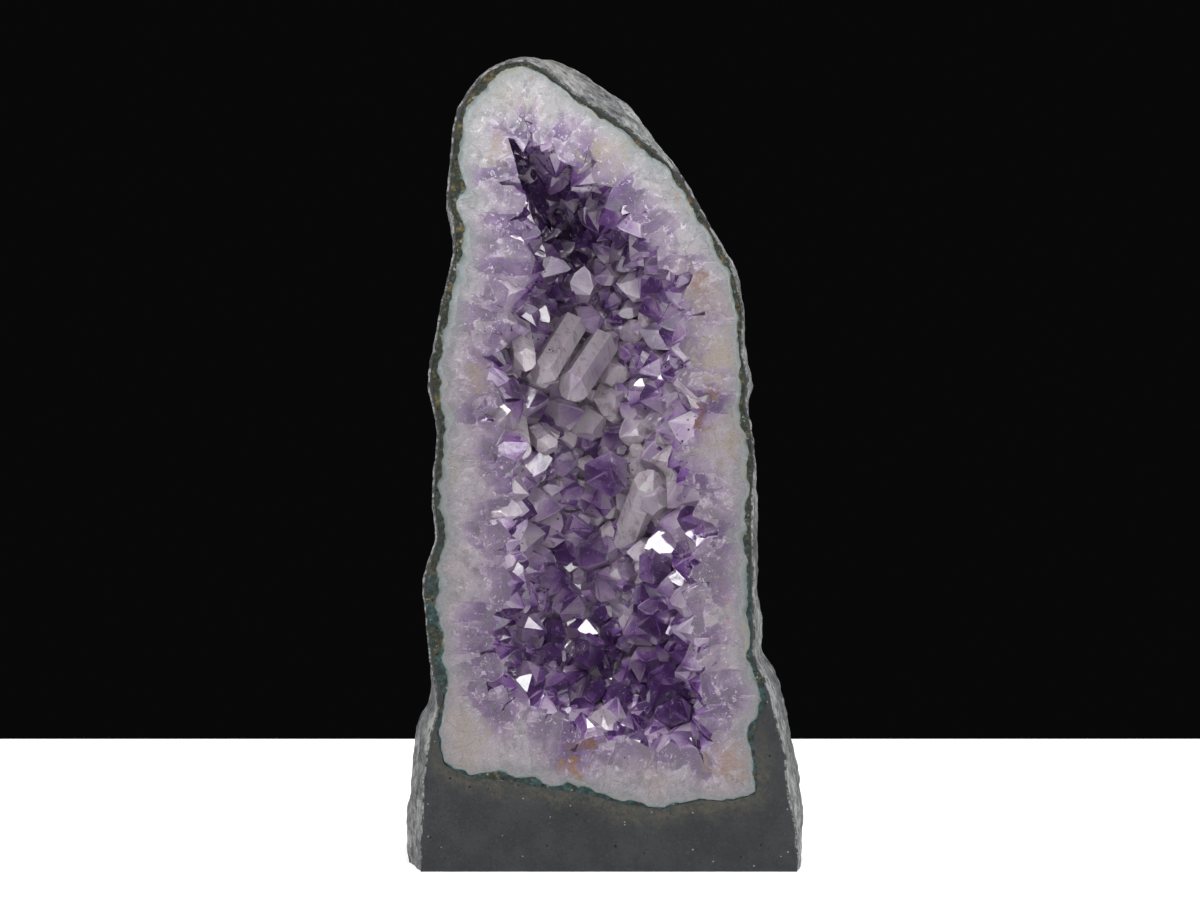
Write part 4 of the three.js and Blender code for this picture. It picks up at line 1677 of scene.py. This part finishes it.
    def build(self, lines: Lines) -> bpy.types.Object:
        """Build the druse.

        Args:
            lines: the lines between the layers.

        Returns:
            The druse piece.
        """
        draw = random.Random(self.seed)
        druse_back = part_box("amethyst_druse")[1].y - FRONT
        outer = Bowl(lines.chalcedony + lines.towards * self.seam, druse_back)
        clear = Amethyst(transmission=0.36, milk=0.12, name="clear_points")
        finishes = [SawnQuartz().material(), Amethyst().material(), clear.material()]
        coarse = Bowl(lines.mouth[::4], self.cavity_depth)
        wall = mesh_from_rings("wall", coarse.rings(self.wall_rows, self.forward), front_cap=False)
        self.face_inwards(wall)
        crystals = self.large_prisms(draw)
        for bed in self.beds:
            strewn = bed.build(wall, finishes[Facing.GROWN.value])
            crystals += self.single(strewn, draw)
        LOG.info("druse: %d crystals", len(crystals))
        blank = mesh_from_rings("druse", outer.rings(self.back_rows, self.forward))
        druse = made_object("amethyst", blank)
        inside = mesh_from_rings("hollow", coarse.rings(self.wall_rows, self.forward + 2 * MM))
        hollow = made_object("hollow", inside)
        combined(druse, Cut.DIFFERENCE, [hollow])
        self.marked(druse.data, draw, 0.1, 1.0, Facing.GROWN)
        faces = druse.data
        store(faces, "rise", "FLOAT", "CORNER", np.zeros(len(faces.loops)))
        store(faces, "prism", "FLOAT", "FACE", np.zeros(len(faces.polygons)))
        combined(druse, Cut.UNION, crystals)
        combined(druse, Cut.DIFFERENCE, [self.crevice()])
        bowl = mesh_from_rings("bowl", outer.rings(self.back_rows, self.forward - 1 * MM))
        whole = made_object("bowl", bowl)
        combined(whole, Cut.INTERSECT, [SawBlock(self.pitch).build()])
        combined(druse, Cut.INTERSECT, [whole])
        dropped = keep_largest(druse.data)
        LOG.info("druse: %d loose tips dropped", dropped)
        self.dress(druse, lines, finishes)
        bpy.data.meshes.remove(wall)
        return druse

    def crevice(self) -> bpy.types.Object:
        """Build the hollow of the dark crevice that slants down from the crown."""
        bm = bmesh.new()
        bmesh.ops.create_icosphere(bm, subdivisions=3, radius=1.0)
        for vert in bm.verts:
            vert.co *= 1.0 + self.crevice_unevenness * smooth_noise.noise(vert.co * 2.3)
        middle = Vector((self.crevice_place[0], FRONT + 12 * MM, self.crevice_place[1]))
        lean = Matrix.Rotation(self.crevice_lean, 4, "Y")
        size = Matrix.Diagonal((*self.crevice_size, 1.0))
        bmesh.ops.transform(bm, matrix=Matrix.Translation(middle) @ lean @ size, verts=bm.verts)
        mesh = bpy.data.meshes.new("crevice")
        bm.to_mesh(mesh)
        bm.free()
        # The crevice's walls take the deepest purple, partly deep colour and partly painted shade in the
        # hollow.
        self.marked(mesh, random.Random(2), 0.0, 1.0, Facing.GROWN)
        store(mesh, "rise", "FLOAT", "CORNER", np.ones(len(mesh.loops)))
        store(mesh, "prism", "FLOAT", "FACE", np.zeros(len(mesh.polygons)))
        return made_object("crevice", mesh)

    @staticmethod
    def face_inwards(wall: bpy.types.Mesh) -> None:
        """Turn an open bowl's faces towards its own middle."""
        bm = bmesh.new()
        bm.from_mesh(wall)
        inwards = 0.0
        for face in bm.faces:
            middle = face.calc_center_median()
            axis = SPINE.at(np.array([middle.z]))[0]
            inwards += face.calc_area() * face.normal.dot(Vector((axis[0], FRONT, axis[1])) - middle)
        if inwards < 0:
            bmesh.ops.reverse_faces(bm, faces=bm.faces)
        bm.to_mesh(wall)
        bm.free()

    def dress(self, druse: bpy.types.Object, lines: Lines, finishes: list[bpy.types.Material]) -> None:
        """Give the druse its growth attributes and its finishes.

        Args:
            druse: the piece.
            lines: the lines between the layers.
            finishes: its materials in the order of Facing.
        """
        mesh = druse.data
        points = point_table(mesh)
        flat = points[:, [0, 2]]
        on_front = np.abs(points[:, 1] - FRONT) < ON_FACE
        loops = sawn_loops(mesh)
        wide = [loop for loop in loops[1:] if np.ptp(loop[:, 1]) > self.contour_height] or loops[1:2]
        inner = np.vstack([evenly(loop, 6 * len(loop)) for loop in wide])
        inner_gap = np.zeros(len(points))
        outer_gap = np.zeros(len(points))
        growth = np.zeros((len(points), 3))
        inner_gap[on_front] = distance_to(flat[on_front], inner)
        tree = KDTree(len(lines.chalcedony))
        for index, (x, z) in enumerate(lines.chalcedony):
            tree.insert((x, 0.0, z), index)
        tree.balance()
        radius = lines.step * SAMPLES_ROUND / math.tau
        for index in np.flatnonzero(on_front):
            _, nearest, gap = tree.find((flat[index, 0], 0.0, flat[index, 1]))
            turn = math.tau * nearest / SAMPLES_ROUND
            outer_gap[index] = gap
            growth[index] = (radius * math.cos(turn), radius * math.sin(turn), gap)
        store(mesh, "inner_gap", "FLOAT", "POINT", inner_gap)
        store(mesh, "outer_gap", "FLOAT", "POINT", outer_gap)
        store(mesh, "growth", "FLOAT_VECTOR", "POINT", growth)
        grown = np.maximum(stored(mesh, "kind").round(), Facing.GROWN.value)
        chosen = np.where(front_faces(mesh), Facing.SAWN.value, grown)
        mesh.materials.clear()
        for finish in finishes:
            mesh.materials.append(finish)
        mesh.polygons.foreach_set("material_index", chosen.astype(np.int32))
        mesh.shade_flat()


# --------------------------------------------------------------------------
# The studio
# --------------------------------------------------------------------------


@dataclass(frozen=True)
class Softbox:
    """A rectangular studio light that is aimed at a point."""

    name: str
    place: tuple[float, float, float]
    size: tuple[float, float]
    watts: float
    aim: tuple[float, float, float] = (0.0, -0.05, 0.2)

    def build(self) -> None:
        """Build the light."""
        lamp = bpy.data.lights.new(self.name, "AREA")
        lamp.shape = "RECTANGLE"
        lamp.size, lamp.size_y = self.size
        lamp.energy = self.watts
        holder = bpy.data.objects.new(self.name, lamp)
        holder.location = self.place
        holder.rotation_euler = (Vector(self.aim) - Vector(self.place)).to_track_quat("-Z", "Y").to_euler()
        bpy.context.scene.collection.objects.link(holder)


@dataclass
class Studio:
    """A pale table in a dark room, soft lights and a camera square to the sawn front."""

    lens: float = 91.7
    distance: float = 1.5
    camera_x: float = -2 * MM
    camera_z: float = 207 * MM
    table_back: float = 0.615
    softboxes: tuple[Softbox, ...] = (
        Softbox("left_softbox", (-0.85, -1.15, 0.75), (0.50, 0.52), 4.7),
        Softbox("right_softbox", (0.95, -1.10, 0.62), (0.42, 0.46), 3.1),
        Softbox("high_softbox", (-0.25, -0.80, 0.95), (0.60, 0.36), 6.0, (-0.03, -0.05, 0.33)),
        Softbox("low_softbox", (0.40, -1.60, 0.12), (0.36, 0.26), 1.4),
        Softbox("near_spot", (-0.34, -1.45, 0.52), (0.16, 0.16), 0.75),
        Softbox("far_spot", (0.42, -1.35, 0.95), (0.20, 0.17), 1.15),
        Softbox("left_wall", (-1.50, -0.30, 0.60), (1.20, 1.10), 4.0),
        Softbox("right_wall", (1.50, -0.30, 0.60), (1.20, 1.10), 5.5),
        Softbox("top_softbox", (0.05, -0.35, 1.35), (0.60, 0.50), 9.0),
        Softbox("left_back_light", (-0.95, 0.95, 0.85), (0.50, 0.50), 7.0),
        Softbox("right_back_light", (0.95, 0.85, 0.80), (0.50, 0.50), 13.0),
    )

    def build(self) -> None:
        """Build the camera, the lights and the table."""
        scene = bpy.context.scene
        view = bpy.data.cameras.new("camera")
        view.lens = self.lens
        view.sensor_width = 36.0
        camera = bpy.data.objects.new("camera", view)
        camera.location = (self.camera_x, FRONT - self.distance, self.camera_z)
        camera.rotation_euler = (math.pi / 2, 0.0, 0.0)
        scene.collection.objects.link(camera)
        scene.camera = camera
        world = bpy.data.worlds.new("dark_room")
        world.use_nodes = True
        background = world.node_tree.nodes["Background"]
        background.inputs["Color"].default_value = (0.0025, 0.0025, 0.0028, 1)
        background.inputs["Strength"].default_value = 1.0
        scene.world = world
        scene.view_settings.view_transform = "Standard"
        for softbox in self.softboxes:
            softbox.build()
        self.table()

    def table(self) -> bpy.types.Object:
        """Build the table top."""
        bm = bmesh.new()
        bmesh.ops.create_cube(bm, size=1.0)
        size = Vector((3.2, self.table_back + 2.2, 0.03))
        middle = Vector((0.0, self.table_back - size.y / 2, -size.z / 2))
        placed = Matrix.Translation(middle) @ Matrix.Diagonal((*size, 1.0))
        bmesh.ops.transform(bm, matrix=placed, verts=bm.verts)
        mesh = bpy.data.meshes.new("table")
        bm.to_mesh(mesh)
        bm.free()
        table = made_object("table", mesh)
        material, bench, shader, where = started("pale_table")
        tint = bench.mix(bench.noise(where, 6.0), (0.84, 0.84, 0.84, 1), (0.88, 0.88, 0.88, 1))
        bench.feed(shader, {"Base Color": tint})
        set_constants(shader, {
            "Roughness": 0.6, "Emission Color": (1.0, 1.0, 1.0, 1.0), "Emission Strength": 0.35})
        mesh.materials.append(material)
        return table


def settle_piece(piece: bpy.types.Object, node: str) -> None:
    """Let a finished piece stand for a CAD node.

    Args:
        piece: the finished piece.
        node: the CAD node that it stands for.
    """
    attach(piece, Body.GEODE.value)
    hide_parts(node)
    triangles = sum(len(p.vertices) - 2 for p in piece.data.polygons)
    LOG.info("%s: %d triangles", piece.name, triangles)


def main() -> None:
    """Build the studio and every piece in order."""
    logging.basicConfig(level=logging.INFO, format="%(name)s %(message)s")
    Studio().build()
    lines = Lines()
    LOG.info("lines: %d points, %.2f mm apart", SAMPLES_ROUND, lines.step / MM)
    linings = Linings().build(lines)
    settle_piece(linings["celadonite"], "celadonite_rind")
    settle_piece(linings["chalcedony"], "chalcedony_band")
    settle_piece(Druse().build(lines), "amethyst_druse")
    settle_piece(Boulder().build(lines), "basalt_matrix")


if __name__ == "__main__":
    main()
